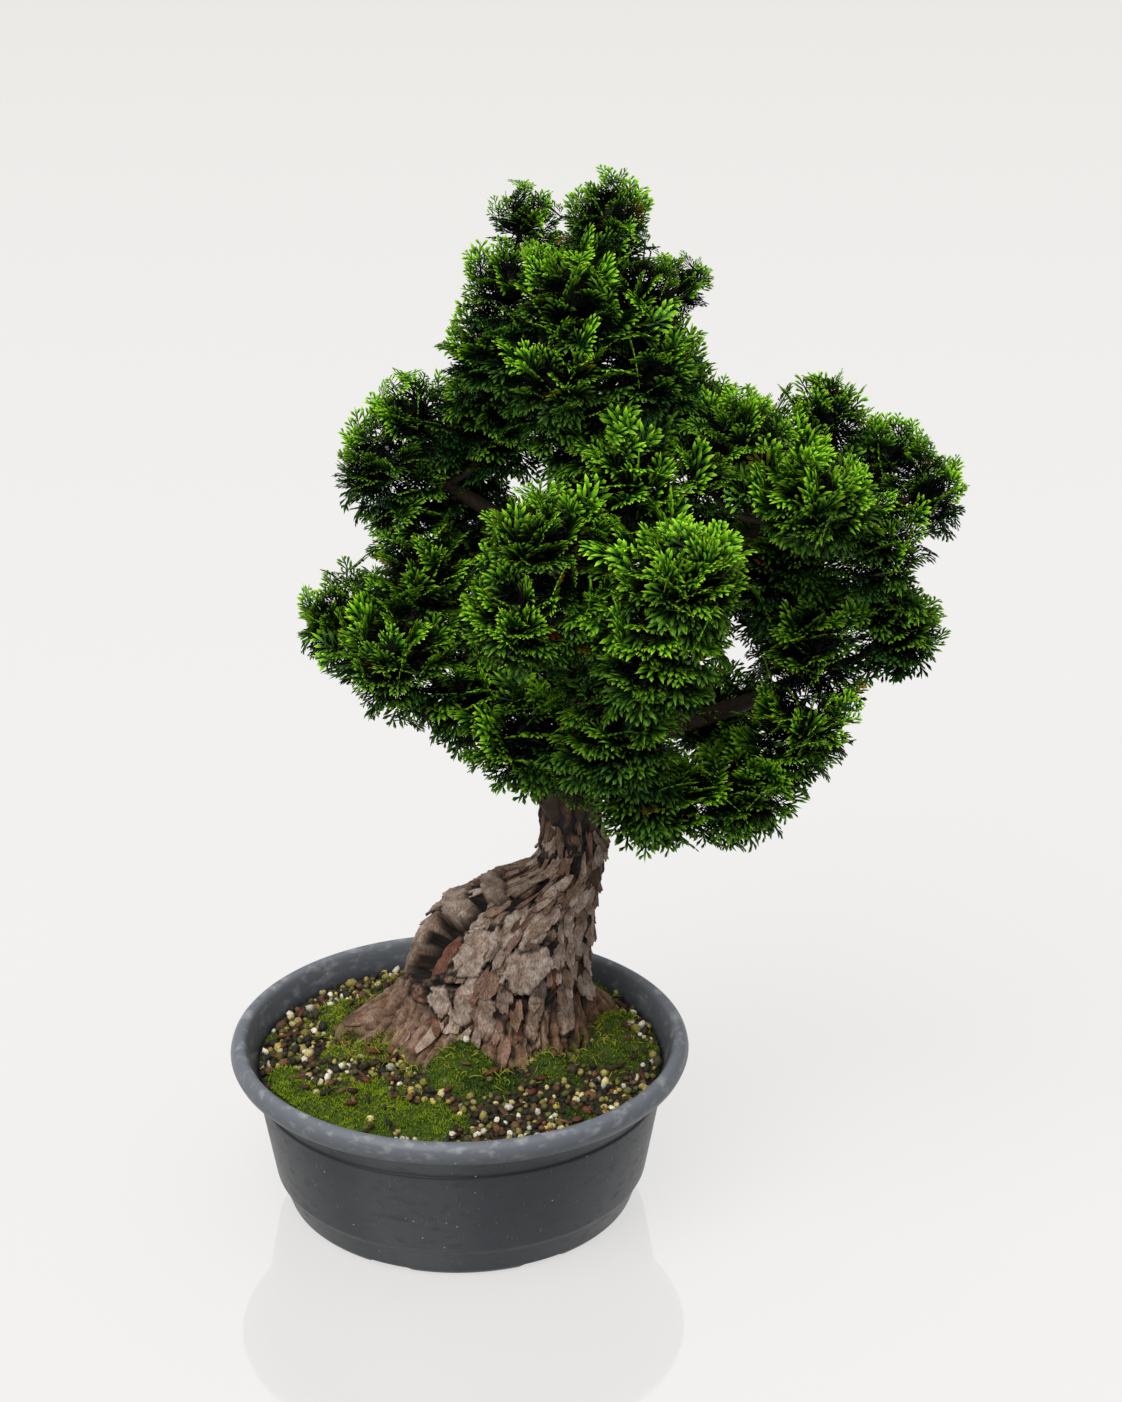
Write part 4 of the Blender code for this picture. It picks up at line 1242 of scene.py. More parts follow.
@dataclass
class Trunk:
    """The bole with its root lobes, and the leader above it, as one closed skin of flaking bark."""

    sections: Sequence[tuple[float, ...]] = (
        # height, centre x, centre y, half width, half depth
        (0.0580, 0.0200, 0.0220, 0.0300, 0.0260), (0.0760, 0.0180, 0.0200, 0.0500, 0.0400),
        (0.0900, 0.0170, 0.0200, 0.0600, 0.0450), (0.1100, 0.0200, 0.0240, 0.0520, 0.0410),
        (0.1320, 0.0210, 0.0270, 0.0490, 0.0400), (0.1520, 0.0270, 0.0300, 0.0460, 0.0360),
        (0.1660, 0.0370, 0.0320, 0.0380, 0.0310), (0.1770, 0.0490, 0.0340, 0.0280, 0.0260),
        (0.1870, 0.0610, 0.0360, 0.0185, 0.0190), (0.2020, 0.0645, 0.0370, 0.0165, 0.0165),
        (0.2250, 0.0630, 0.0380, 0.0160, 0.0160), (0.2620, 0.0660, 0.0380, 0.0140, 0.0140),
        (0.3200, 0.0720, 0.0340, 0.0104, 0.0104), (0.3900, 0.0720, 0.0260, 0.0079, 0.0079),
        (0.4600, 0.0680, 0.0180, 0.0054, 0.0054), (0.5350, 0.0710, 0.0130, 0.0028, 0.0028),
    )
    lobes: Sequence[tuple[float, ...]] = (
        # direction in degrees, reach, half width in degrees, height where it begins
        (184, 0.026, 15, 0.128), (232, 0.012, 16, 0.112), (287, 0.012, 13, 0.120),
        (22, 0.015, 17, 0.116), (78, 0.012, 18, 0.110), (135, 0.014, 18, 0.112),
    )
    marks: Sequence[TrunkMark] = tuple(TrunkMark(*row) for row in (
        # Angle in degrees, height, half size across, half size along, lean in degrees, lift, face
        (214, 0.1480, 0.0070, 0.0170, 4, -0.0075, Bark.FIBRE),
        (205, 0.1490, 0.0030, 0.0185, -2, -0.0120, Bark.SHADED_CREVICE),
        (196, 0.1460, 0.0034, 0.0175, -3, 0.0045, Bark.AGED),
        (188, 0.1430, 0.0034, 0.0180, -2, 0.0036, Bark.AGED),
        (179, 0.1400, 0.0040, 0.0170, 2, 0.0026, Bark.AGED),
        (203, 0.1605, 0.0100, 0.0020, 10, -0.0070, Bark.SHADED_CREVICE),
        (194, 0.1655, 0.0120, 0.0040, 8, 0.0068, Bark.PLATE),
        (208, 0.1710, 0.0100, 0.0016, 6, -0.0050, Bark.SHADED_CREVICE),
        (203, 0.1755, 0.0130, 0.0030, 8, 0.0066, Bark.AGED),
        (228, 0.1650, 0.0050, 0.0050, 10, 0.0020, Bark.PLATE),
        (243, 0.1510, 0.0105, 0.0135, 12, 0.0034, Bark.PLATE),
        (265, 0.1470, 0.0016, 0.0130, 14, -0.0060, Bark.SHADED_CREVICE),
        (246, 0.1330, 0.0120, 0.0015, -8, -0.0050, Bark.SHADED_CREVICE),
        (289, 0.1435, 0.0150, 0.0125, 24, 0.0048, Bark.PLATE),
        (288, 0.1280, 0.0150, 0.0014, 10, -0.0050, Bark.SHADED_CREVICE),
        (262, 0.1640, 0.0056, 0.0130, -35, 0.0022, Bark.PLATE),
        (284, 0.1640, 0.0070, 0.0110, -20, 0.0018, Bark.PLATE),
        (318, 0.1430, 0.0040, 0.0150, 14, 0.0016, Bark.FIBRE),
        (289, 0.1160, 0.0045, 0.0100, 4, -0.0022, Bark.FIBRE),
        (262, 0.1200, 0.0060, 0.0150, -8, 0.0022, Bark.AGED),
        (245, 0.1210, 0.0070, 0.0130, 10, 0.0024, Bark.PLATE),
        (302, 0.1200, 0.0044, 0.0170, 14, 0.0026, Bark.AGED),
        (326, 0.1180, 0.0060, 0.0170, 8, 0.0022, Bark.AGED),
        (226, 0.1220, 0.0080, 0.0070, 50, 0.0024, Bark.PLATE),
        (30, 0.1400, 0.0090, 0.0160, -14, 0.0026, Bark.PLATE),
        (75, 0.1320, 0.0110, 0.0150, 18, 0.0028, Bark.PLATE),
        (120, 0.1450, 0.0090, 0.0160, -24, 0.0026, Bark.PLATE),
        (95, 0.1180, 0.0060, 0.0120, 6, -0.0020, Bark.FIBRE),
    ))
    foot: tuple[float, float] = (0.017, 0.020)
    columns: int = 300
    table_rows: int = 900
    plate_width: float = 0.0105
    scale_width: float = 0.0036
    flakes: int = 330
    flake_half_widths: tuple[float, float] = (0.0016, 0.0042)
    flake_half_lengths: tuple[float, float] = (0.0035, 0.0085)
    flake_curls: tuple[float, float] = (0.0006, 0.0030)
    # The smooth hollow on the left: its middle and half width as angles, its height and half height
    hollow: tuple[float, ...] = (math.radians(207), math.radians(27), 0.150, 0.027)
    table: Array = field(init=False)

    def __post_init__(self) -> None:
        """Works out the fine table of sections."""
        self.table = smooth_route(self.sections, self.table_rows)

    def section(self, heights: Array) -> Array:
        """Returns centre x, centre y, half width and half depth at each height."""
        columns = self.table[:, 1:].T
        return np.stack([np.interp(heights, self.table[:, 0], column) for column in columns])

    def radius(self, angles: Array, heights: Array) -> Array:
        """Radius of the trunk: an ellipse with seven shallow ridges, plus a bell-shaped lobe for each root.

        Args:
            angles: Angles about the section's centre.
            heights: Heights of the places.

        Returns:
            The distance from the section's centre.
        """
        _, _, wide, deep = self.section(heights)
        radius = wide * deep / np.hypot(deep * np.cos(angles), wide * np.sin(angles))
        radius = radius * (1 + 0.035 * np.sin(7 * angles + 60 * heights))
        foot = smoothstep(0.058, 0.088, heights)
        for direction, reach, half_angle, top in self.lobes:
            turn = np.degrees(turn_from(math.radians(direction), angles))
            share = foot * (1 - smoothstep(0.088, top, heights))
            radius = radius + reach * share * np.exp(-((turn / half_angle) ** 2))
        return radius

    def skin(self, angles: Array, heights: Array) -> Array:
        """Finds places on the smooth trunk.

        Args:
            angles: Angles about the section's centre.
            heights: Heights of the places.

        Returns:
            The points.
        """
        x, y, _, _ = self.section(heights)
        radius = self.radius(angles, heights)
        return np.stack([x + radius * np.cos(angles), y + radius * np.sin(angles), heights], -1)

    def normals(self, angles: Array, heights: Array) -> Array:
        """Works out which way the smooth trunk faces, from small steps round it and up it.

        Args:
            angles: Angles about the section's centre.
            heights: Heights of the places.

        Returns:
            The unit normals.
        """
        step = 0.0015
        here = self.skin(angles, heights)
        beside = self.skin(angles + step / self.section(heights)[2:].mean(0), heights)
        return unit(np.cross(beside - here, self.skin(angles, heights + step) - here))

    def rows(self) -> Array:
        """Spreads the grid's rows: about a millimetre apart up to the limbs and wider apart above.

        Returns:
            Their heights.
        """
        bands = ((0.060, 0.082, 6), (0.082, 0.190, 118), (0.190, 0.270, 62))
        rows = [np.linspace(low, high, count, endpoint=False) for low, high, count in bands]
        return np.concatenate([*rows, np.linspace(0.270, 0.535, 46)])

    def bark_relief(self, points: Array, angles: Array) -> tuple[Array, Array]:
        """Height of the bark over the smooth trunk, and its marks.

        Formula: plates are random cells about 10 mm wide that grow longer up the neck. Each is flat, has a
        crack round it and tilts like a shingle, its lower end out. Smaller plates of about 3.5 mm and fibres
        of about 1 mm lie over them. The single marks press a smooth plate, ledge or hollow into that.

        Args:
            points: Points of the smooth trunk, as a grid.
            angles: Their angles.

        Returns:
            The relief in metres, and crack with painted shade, pale, red and tone for each point.
        """
        heights = points[..., 2]
        stretch = np.interp(heights, (0.05, 0.165, 0.20, 0.54), (0.0, 8.2, 9.6, 20.0))
        warp = 0.30 * np.stack([rolling(points / 0.006, 31 + axis) for axis in range(3)], -1)
        across = points[..., 0], points[..., 1]
        large = np.stack([*(part / self.plate_width for part in across), 0.85 * stretch], -1) + warp
        small = np.stack([*(part / self.scale_width for part in across), 2.3 * stretch], -1) + 1.2 * warp
        plates, scales = cell_pattern(large, 41), cell_pattern(small, 51)
        fibres = rolling(points / np.array((0.0011, 0.0011, 0.0075)), 61)
        swells = rolling(points / 0.016, 62)
        thin = np.interp(heights, (0.19, 0.27, 0.54), (1.0, 0.55, 0.18))
        crack = 1 - smoothstep(0.06, 0.25, plates.edge)
        seam = 1 - smoothstep(0.02, 0.20, scales.edge)
        lift = 0.0014 * smoothstep(0.0, 0.22, plates.edge) + 0.0022 * (plates.number - 0.5)
        lift = lift - 0.0018 * np.clip(plates.offset[..., 2], -0.7, 0.7)
        # Only some plates have broken up into scales
        broken = 0.2 + 0.8 * smoothstep(0.35, 0.6, plates.number)
        small_lift = 0.0006 * smoothstep(0.0, 0.2, scales.edge) + 0.0011 * (scales.number - 0.5)
        small_lift = small_lift - 0.0006 * np.clip(scales.offset[..., 2], -0.6, 0.6)
        lift = lift + broken * small_lift + 0.0009 * swells
        lift = (lift + 0.00022 * fibres) * thin
        # The cracks and seams are painted near black, partly as the shade in them
        dark = np.maximum(crack, 0.8 * seam * broken)
        # Over the roots the bark lies in ridges 4 mm apart that run down and out along each root
        circle = np.stack([np.cos(angles) / 0.085, np.sin(angles) / 0.085, heights / 0.021], -1)
        valley = np.abs(rolling(circle + 0.5 * warp, 81))
        ridge = np.abs(rolling(2.1 * circle * (1, 1, 0.8) + 0.5 * warp, 82))
        low = 1 - smoothstep(0.104, 0.124, heights + 0.006 * swells)
        fluted = 0.0042 * smoothstep(0.0, 0.30, valley) + 0.0018 * smoothstep(0.0, 0.25, ridge) - 0.0032
        lift = lift + low * (fluted - 0.75 * lift)
        # The furrows between root ridges are painted dark, as shade
        furrow = np.maximum(1 - smoothstep(0.0, 0.09, valley), 0.7 * (1 - smoothstep(0.0, 0.07, ridge)))
        dark = dark + low * (furrow - dark)
        tone = 0.16 + 0.75 * plates.number + 0.50 * (scales.number - 0.5) + 0.16 * fibres
        tone = tone + low * (0.18 + 0.5 * valley + 0.5 * ridge - 0.6 * tone)
        tone = tone + 0.16 * smoothstep(0.125, 0.15, heights) - 0.66 * smoothstep(0.172, 0.195, heights)
        # The side that faces +X, away from the key light, is painted darker, as shade
        tone = tone - 0.30 * smoothstep(0.35, 0.85, np.cos(angles - 0.1))
        pale = np.zeros(heights.shape)
        red = smoothstep(0.80, 0.95, plates.number) * 0.7
        around = self.section(heights)[2:].mean(0)
        ragged = 0.20 * rolling(points / 0.0038, 71) + 0.13 * rolling(points / 0.0014, 72)
        for mark in self.marks:
            lean = math.radians(mark.lean)
            a, b = around * turn_from(math.radians(mark.angle), angles), heights - mark.height
            across = (a * math.cos(lean) - b * math.sin(lean)) / mark.half_across
            along = (a * math.sin(lean) + b * math.cos(lean)) / mark.half_along
            away = (np.abs(across) ** 2.6 + np.abs(along) ** 2.6) ** (1 / 2.6) + ragged
            inside = 1 - smoothstep(0.92, 1.04, away)
            border = np.exp(-(((away - 1.06) / 0.10) ** 2))
            tilt = 0.25 * abs(mark.lift) * np.clip(-along, -1, 1)
            lift = lift * (1 - 0.8 * inside) + (mark.lift + tilt) * inside - 0.0015 * border
            # A dark line round each mark is a painted shadow at its edge
            dark = dark * (1 - 0.75 * inside) + 0.95 * border * (1 - dark)
            aged, fresh, black = mark.face.value
            pale = pale * (1 - inside) + aged * inside * (0.55 + 0.6 * np.abs(swells) + 0.25 * fibres)
            red = red * (1 - inside) + fresh * inside
            # A crevice is painted black inside, as shade
            dark = dark + black * inside * (1 - dark)
        marks = np.stack([np.clip(part, 0, 1) for part in (dark, pale, red, tone)], -1)
        return lift, marks

    def build(self, finish: Material) -> Piece:
        """Makes the trunk: the smooth skin pushed out along its normals by the bark's relief.

        Args:
            finish: The bark material.

        Returns:
            The piece.
        """
        heights, angles = np.meshgrid(self.rows(), full_turn(self.columns), indexing="ij")
        smooth = self.skin(angles, heights)
        lift, marks = self.bark_relief(smooth, angles)
        points = (smooth + surface_normals(smooth) * lift[..., None]).reshape(-1, 3)
        poles = [points[: self.columns].mean(0), points[-self.columns :].mean(0)]
        marks = np.vstack([marks.reshape(-1, 4), np.zeros((2, 4))])
        faces = capped_grid(len(heights), self.columns)
        made = put_mesh("trunk_bark", np.vstack([points, *poles]), faces, finish, {"bark": marks})
        return settle(made, "bark", "wood")

    def build_flakes(self, finish: Material) -> Piece:
        """Makes loose flakes: thin closed shells on the bark, held at the top and curling away lower down.

        Formula: a flake is a grid over its own width and length, laid on the smooth trunk and lifted along
        its normal by the square of the way down and of the way from the flake's middle line.

        Args:
            finish: The bark material.

        Returns:
            The piece.
        """
        rng = np.random.default_rng(SEED + 7)
        wide, long, half_thick = 3, 4, 0.00045
        angle = rng.uniform(0, math.tau, 2 * self.flakes)
        height = 0.098 + 0.115 * rng.beta(1.5, 1.4, angle.size)
        # None hangs over the smooth hollow on the left
        middle, half_angle, level, half_height = self.hollow
        beside = turn_from(middle, angle) / half_angle
        kept = np.flatnonzero(np.hypot(beside, (height - level) / half_height) > 1)[: self.flakes]
        count = kept.size
        angle, height = angle[kept, None, None], height[kept, None, None]
        neck = smoothstep(0.165, 0.20, height)
        one_each = (count, 1, 1)
        half_across = rng.uniform(*self.flake_half_widths, one_each) * (1 - 0.45 * neck)
        half_along = rng.uniform(*self.flake_half_lengths, one_each)
        lean = rng.normal(0, 0.35, one_each) * (1 - 0.6 * neck)
        s, t = np.meshgrid(np.linspace(-1, 1, wide + 1), np.linspace(-1, 1, long + 1))
        s, t = s[None], t[None]
        spread = 1 - 0.45 * t**4 + 0.16 * rng.normal(0, 1, (count, long + 1, 1))
        a, b = s * spread * half_across, (t + 0.12 * rng.normal(0, 1, (count, 1, wide + 1))) * half_along
        turn = angle + (a * np.cos(lean) + b * np.sin(lean)) / self.section(height)[2:].mean(0)
        level = height - a * np.sin(lean) + b * np.cos(lean)
        flat, normal = self.skin(turn, level), self.normals(turn, level)
        down = (1 - t) / 2
        curl = rng.uniform(*self.flake_curls, one_each)
        lift = 0.0009 + curl * down**2 + 0.0007 * s**2 * down
        each = (wide + 1) * (long + 1)
        sides = [flat + normal * (lift + thick)[..., None] for thick in (half_thick, -half_thick)]
        points = np.concatenate([side.reshape(count, each, 3) for side in sides], axis=1)
        top = grid_faces(long + 1, wide + 1, closed=False)
        index = np.arange(each).reshape(long + 1, wide + 1)
        loop = np.concatenate([index[0, :-1], index[:-1, -1], index[-1, :0:-1], index[:0:-1, 0]])
        after = np.roll(loop, -1)
        rim = np.stack([after, loop, loop + each, after + each], -1)
        faces = [repeated(np.vstack([top, top[:, ::-1] + each, rim]), 2 * each, count)]
        pale = np.repeat(rng.uniform(0, 0.8, count), 2 * each)
        red = np.repeat((rng.random(count) > 0.8) * 0.6, 2 * each)
        tone = np.repeat(rng.uniform(0.1, 1.0, count), 2 * each)
        # The side of each flake that faces the trunk is painted darker, as the shade under it
        dark = np.tile(np.repeat((0, 0.55), each), count)
        marks = marks_of(2 * each * count, dark, pale, red, tone)
        made = put_mesh("bark_flakes", points, faces, finish, {"bark": marks}, smooth=False)
        return settle(made, "bark", "wood")


@dataclass(frozen=True)
class Limb:
    """A woody limb: its radius at each end and the points that it runs through."""

    start_radius: float
    end_radius: float
    route: Route


@dataclass(frozen=True)
class Clump:
    """One bunch of foliage: where its middle is, its half width and its half height."""

    name: str
    centre: tuple[float, float, float]
    half_width: float
    half_height: float

    @property
    def half_sizes(self) -> Array:
        """Half sizes along X, Y and Z."""
        return np.array((self.half_width, self.half_width, self.half_height))


@dataclass
class Limbs:
    """The limbs, and the twigs that carry the clumps."""

    clumps: Sequence[Clump]
    limbs: Sequence[Limb] = tuple(Limb(*row) for row in (
        # Radius at the start, radius at the end, points
        (0.0130, 0.0028, (
            (0.066, 0.038, 0.248), (0.072, 0.034, 0.320), (0.072, 0.026, 0.390), (0.068, 0.018, 0.460),
            (0.071, 0.013, 0.535),
        )),
        (0.0085, 0.0030, (
            (0.064, 0.036, 0.205), (0.045, 0.022, 0.243), (0.006, -0.014, 0.303), (-0.028, -0.022, 0.345),
        )),
        (0.0055, 0.0028, (
            (0.072, 0.034, 0.335), (0.036, 0.025, 0.388), (-0.002, 0.014, 0.420), (-0.020, 0.010, 0.435),
        )),
        (0.0070, 0.0030, (
            (0.066, 0.038, 0.243), (0.110, 0.025, 0.272), (0.160, 0.000, 0.302), (0.200, -0.008, 0.326),
        )),
        (0.0075, 0.0032, (
            (0.069, 0.037, 0.285), (0.118, 0.022, 0.350), (0.168, 0.000, 0.402), (0.212, -0.004, 0.420),
        )),
        (0.0062, 0.0030, (
            (0.069, 0.036, 0.275), (0.072, -0.012, 0.322), (0.080, -0.055, 0.366), (0.084, -0.076, 0.392),
        )),
        (0.0055, 0.0028, (
            (0.064, 0.036, 0.232), (0.078, -0.006, 0.262), (0.096, -0.042, 0.278), (0.112, -0.056, 0.282),
        )),
        (0.0062, 0.0030, (
            (0.066, 0.037, 0.255), (0.078, 0.062, 0.300), (0.088, 0.078, 0.340), (0.092, 0.084, 0.372),
        )),
        (0.0048, 0.0026, (
            (0.072, 0.030, 0.360), (0.072, 0.045, 0.410), (0.074, 0.052, 0.455), (0.076, 0.054, 0.488),
        )),
    ))
    stub: Limb = Limb(0.0019, 0.0008, (
        (0.0490, 0.0270, 0.1800), (0.0462, 0.0262, 0.1880), (0.0450, 0.0262, 0.1935),
    ))
    core_share: float = 0.42
    twig_radii: tuple[float, float] = (0.0026, 0.0012)
    least_twig: float = 0.016
    drop_cost: float = 1.2
    short_cost: float = 3.0

    def bearings(self) -> tuple[Array, Array]:
        """Lists the places on the limbs that a twig may grow from.

        Returns:
            The places, and the limb's radius at each.
        """
        steps, first = 17, 4
        places = [smooth_route(limb.route, steps)[first:] for limb in self.limbs]
        radii = [np.linspace(limb.start_radius, limb.end_radius, steps)[first:] for limb in self.limbs]
        return np.vstack(places), np.concatenate(radii)

    def twig(self, clump: Clump) -> Array:
        """Route of a clump's twig, from the place on a limb that costs it least to reach, into the clump.

        Formula: the cost is the distance, plus 1.2 times any drop, plus 3 times what is missing to 16 mm.

        Args:
            clump: The clump.

        Returns:
            Start, knee, the core's underside and the clump's middle.
        """
        places, radii = self.bearings()
        centre = np.array(clump.centre)
        offset = centre - places
        length = np.linalg.norm(offset, axis=1)
        cost = length + self.drop_cost * np.maximum(0, -offset[:, 2])
        best = np.argmin(cost + self.short_cost * np.maximum(0, self.least_twig - length))
        away = unit(offset[best])
        start = places[best] - away * radii[best] * 0.35
        points = unit(away + 0.35 * UPWARDS)
        tip = centre - points * self.core_share * min(clump.half_width, clump.half_height)
        knee = tip - points * np.linalg.norm(tip - start) * 0.4
        return np.stack([start, knee, tip, centre])

    def build(self, finish: Material) -> Piece:
        """Makes the limbs and twigs as tapered tubes, with knobs of bark along them.

        Args:
            finish: The twigs' bark.

        Returns:
            The piece.
        """
        steps, twig_steps = 40, 10
        limbs = [*self.limbs[1:], self.stub]
        routes = np.stack([smooth_route(limb.route, steps) for limb in limbs])
        radii = np.stack([np.linspace(limb.start_radius, limb.end_radius, steps) for limb in limbs])
        knobs = 1 + 0.10 * rolling(routes / 0.006, 81) + 0.05 * rolling(routes / 0.002, 82)
        limb_points, limb_faces = tubes(routes, radii * knobs, 12)
        twigs = np.stack([smooth_route(self.twig(clump), twig_steps) for clump in self.clumps])
        thin = np.linspace(*self.twig_radii, twig_steps) * (1 + 0.10 * rolling(twigs / 0.004, 83))
        twig_points, twig_faces = tubes(twigs, thin, 6)
        faces = [*limb_faces, *[rows + len(limb_points) for rows in twig_faces]]
        made = put_mesh("limbs_and_twigs", np.vstack([limb_points, twig_points]), faces, finish)
        return settle(made, "bark", "wood")


# The foliage


class Region(Enum):
    """A part of the canopy, made as one piece: the name, centre and half sizes in mm of each clump."""

    CROWN = (
        ("crown_tip_left", 37, 15, 564, 16, 23), ("crown_tip_right", 82, 22, 562, 23, 27),
        ("crown_left", 31, 0, 534, 25, 26), ("crown_front", 63, -20, 530, 27, 26),
        ("crown_right", 98, 4, 526, 22, 26), ("crown_spur", 123.5, 20, 530, 12, 17),
        ("crown_back", 70, 50, 524, 28, 28),
    )
    UPPER = (
        ("upper_left", 20, -4, 498, 25, 27), ("upper_front", 56, -36, 494, 28, 27),
        ("upper_right", 100, -16, 492, 28, 27), ("upper_back_left", 34, 52, 480, 30, 30),
        ("upper_back_right", 106, 52, 478, 30, 30), ("mid_left", 24, 4, 455, 27, 30),
        ("mid_front", 68, -16, 456, 27, 25), ("mid_right", 124, 18, 460, 24, 25),
    )
    LEFT_ARM = (
        ("shoulder_top", -22, 15, 457, 24, 26), ("shoulder_tip", -40, 2, 436, 23, 26),
        ("shoulder_low", -22, 10, 410, 27, 23), ("shoulder_back", 4, 60, 424, 31, 30),
        ("left_tip", -60, -10, 352, 24, 32), ("left_front", -30, -46, 346, 29, 34),
        ("left_top", -16, -20, 380, 27, 27), ("left_low", 6, -30, 318, 28, 31),
        ("left_back", -24, 34, 336, 31, 31), ("left_inner_back", 12, 62, 366, 31, 31),
    )
    FRONT = (
        ("front_left_top", 44, -82, 424, 29, 26), ("front_left_low", 36, -94, 384, 30, 32),
        ("centre_top", 92, -46, 438, 32, 28), ("front_right_top", 118, -98, 408, 36, 30),
        ("front_right_low", 108, -98, 364, 36, 29),
        # Twigs of two of these clumps that fill the gap between them and the one beside the inner right clump
        ("front_left_low", 70, -78, 392, 19, 32), ("front_right_low", 74, -70, 344, 17, 26),
        ("centre_top", 130, -34, 440, 16, 22),
    )
    SKIRT = (
        ("skirt_left", 40, -50, 300, 31, 33), ("skirt_front", 88, -82, 312, 32, 28),
        ("skirt_low", 108, -58, 268, 36, 24), ("skirt_right", 156, -48, 270, 29, 30),
        ("skirt_back_left", 30, 56, 302, 32, 31), ("skirt_back", 88, 74, 284, 34, 31),
        ("skirt_back_right", 146, 28, 280, 31, 29),
    )
    RIGHT_ARM = (
        ("right_inner", 153, -14, 452, 26, 28), ("right_top", 197, 0, 464, 24, 24),
        ("right_back", 230, 22, 434, 23, 24), ("right_tip", 250, 2, 420, 23, 27),
        ("right_front", 188, -48, 432, 32, 27), ("right_under", 222, -22, 396, 28, 24),
        ("right_hollow", 170, 6, 378, 29, 32), ("right_back_high", 152, 60, 430, 33, 31),
        ("right_back_arm", 202, 52, 398, 31, 29),
    )
    LOW_ARM_AND_BACK = (
        ("low_right_tip", 234, -4, 345, 30, 26), ("low_right", 190, -18, 340, 30, 28),
        ("low_right_skirt", 184, -44, 305, 30, 28), ("low_right_back", 188, 48, 330, 31, 30),
        ("back_high", 84, 92, 414, 36, 34), ("back_middle", 60, 100, 352, 36, 34),
        ("back_right", 136, 90, 352, 36, 34),
    )

    @property
    def clumps(self) -> tuple[Clump, ...]:
        """Returns the region's clumps, in metres."""
        return tuple(
            Clump(name, (x / MM_PER_M, y / MM_PER_M, z / MM_PER_M), wide / MM_PER_M, high / MM_PER_M)
            for name, x, y, z, wide, high in self.value
        )


ALL_CLUMPS = [clump for region in Region for clump in region.clumps]


@dataclass(frozen=True)
class Spray:
    """The smallest unit of foliage: a central shoot with five plump fingers, alternating on its two sides.

    It lies in its own plane, X along the shoot, with a length of 1. A few variants differ in their fingers.
    """

    variants: int = 10
    finger_starts: Sequence[float] = (0.14, 0.28, 0.44, 0.60, 0.75)
    finger_lengths: Sequence[float] = (0.72, 0.66, 0.54, 0.42, 0.30)
    finger_angle: float = math.radians(37)
    finger_radius: float = 0.064
    shoot_radius: float = 0.052
    shoulder: float = 0.76

    def points(self, rng: np.random.Generator) -> tuple[Array, Array]:
        """Shapes the variants.

        Formula: a finger, and the shoot too, is a closed spearhead of four corners: its root, its tip, and
        two shoulders at 0.76 of its length, which stand out by its radius and are raised by half of that.

        Args:
            rng: The source of random numbers.

        Returns:
            The points of each variant, and how far along its finger each point is, from 0 to 1.
        """
        starts = np.array((0.0, *self.finger_starts))
        side = np.array((0, *np.resize((-1, 1), len(self.finger_starts))))
        reach = np.array((1.0, *self.finger_lengths)) * rng.uniform(0.84, 1.16, (self.variants, len(starts)))
        angle = side * (self.finger_angle + rng.normal(0, 0.11, reach.shape))
        ahead = np.stack([np.cos(angle), np.sin(angle), 0 * angle], -1)
        across = np.stack([-np.sin(angle), np.cos(angle), 0 * angle], -1)
        radius = np.where(side == 0, self.shoot_radius, self.finger_radius)[:, None]
        root = np.broadcast_to(starts[:, None] * np.array((1.0, 0.0, 0.0)), ahead.shape)
        middle = root + self.shoulder * reach[..., None] * ahead + 0.5 * radius * UPWARDS
        corners = [root, middle + radius * across, middle - radius * across, root + reach[..., None] * ahead]
        along = np.tile([0.05, 0.72, 0.72, 1.0], len(starts))
        return np.stack(corners, axis=2).reshape(self.variants, -1, 3), along

    def faces(self) -> Array:
        """Returns the triangles of a spray."""
        spearhead = np.array([(0, 2, 1), (3, 1, 2), (0, 1, 3), (0, 3, 2)])
        return np.vstack([spearhead + 4 * index for index in range(1 + len(self.finger_starts))])


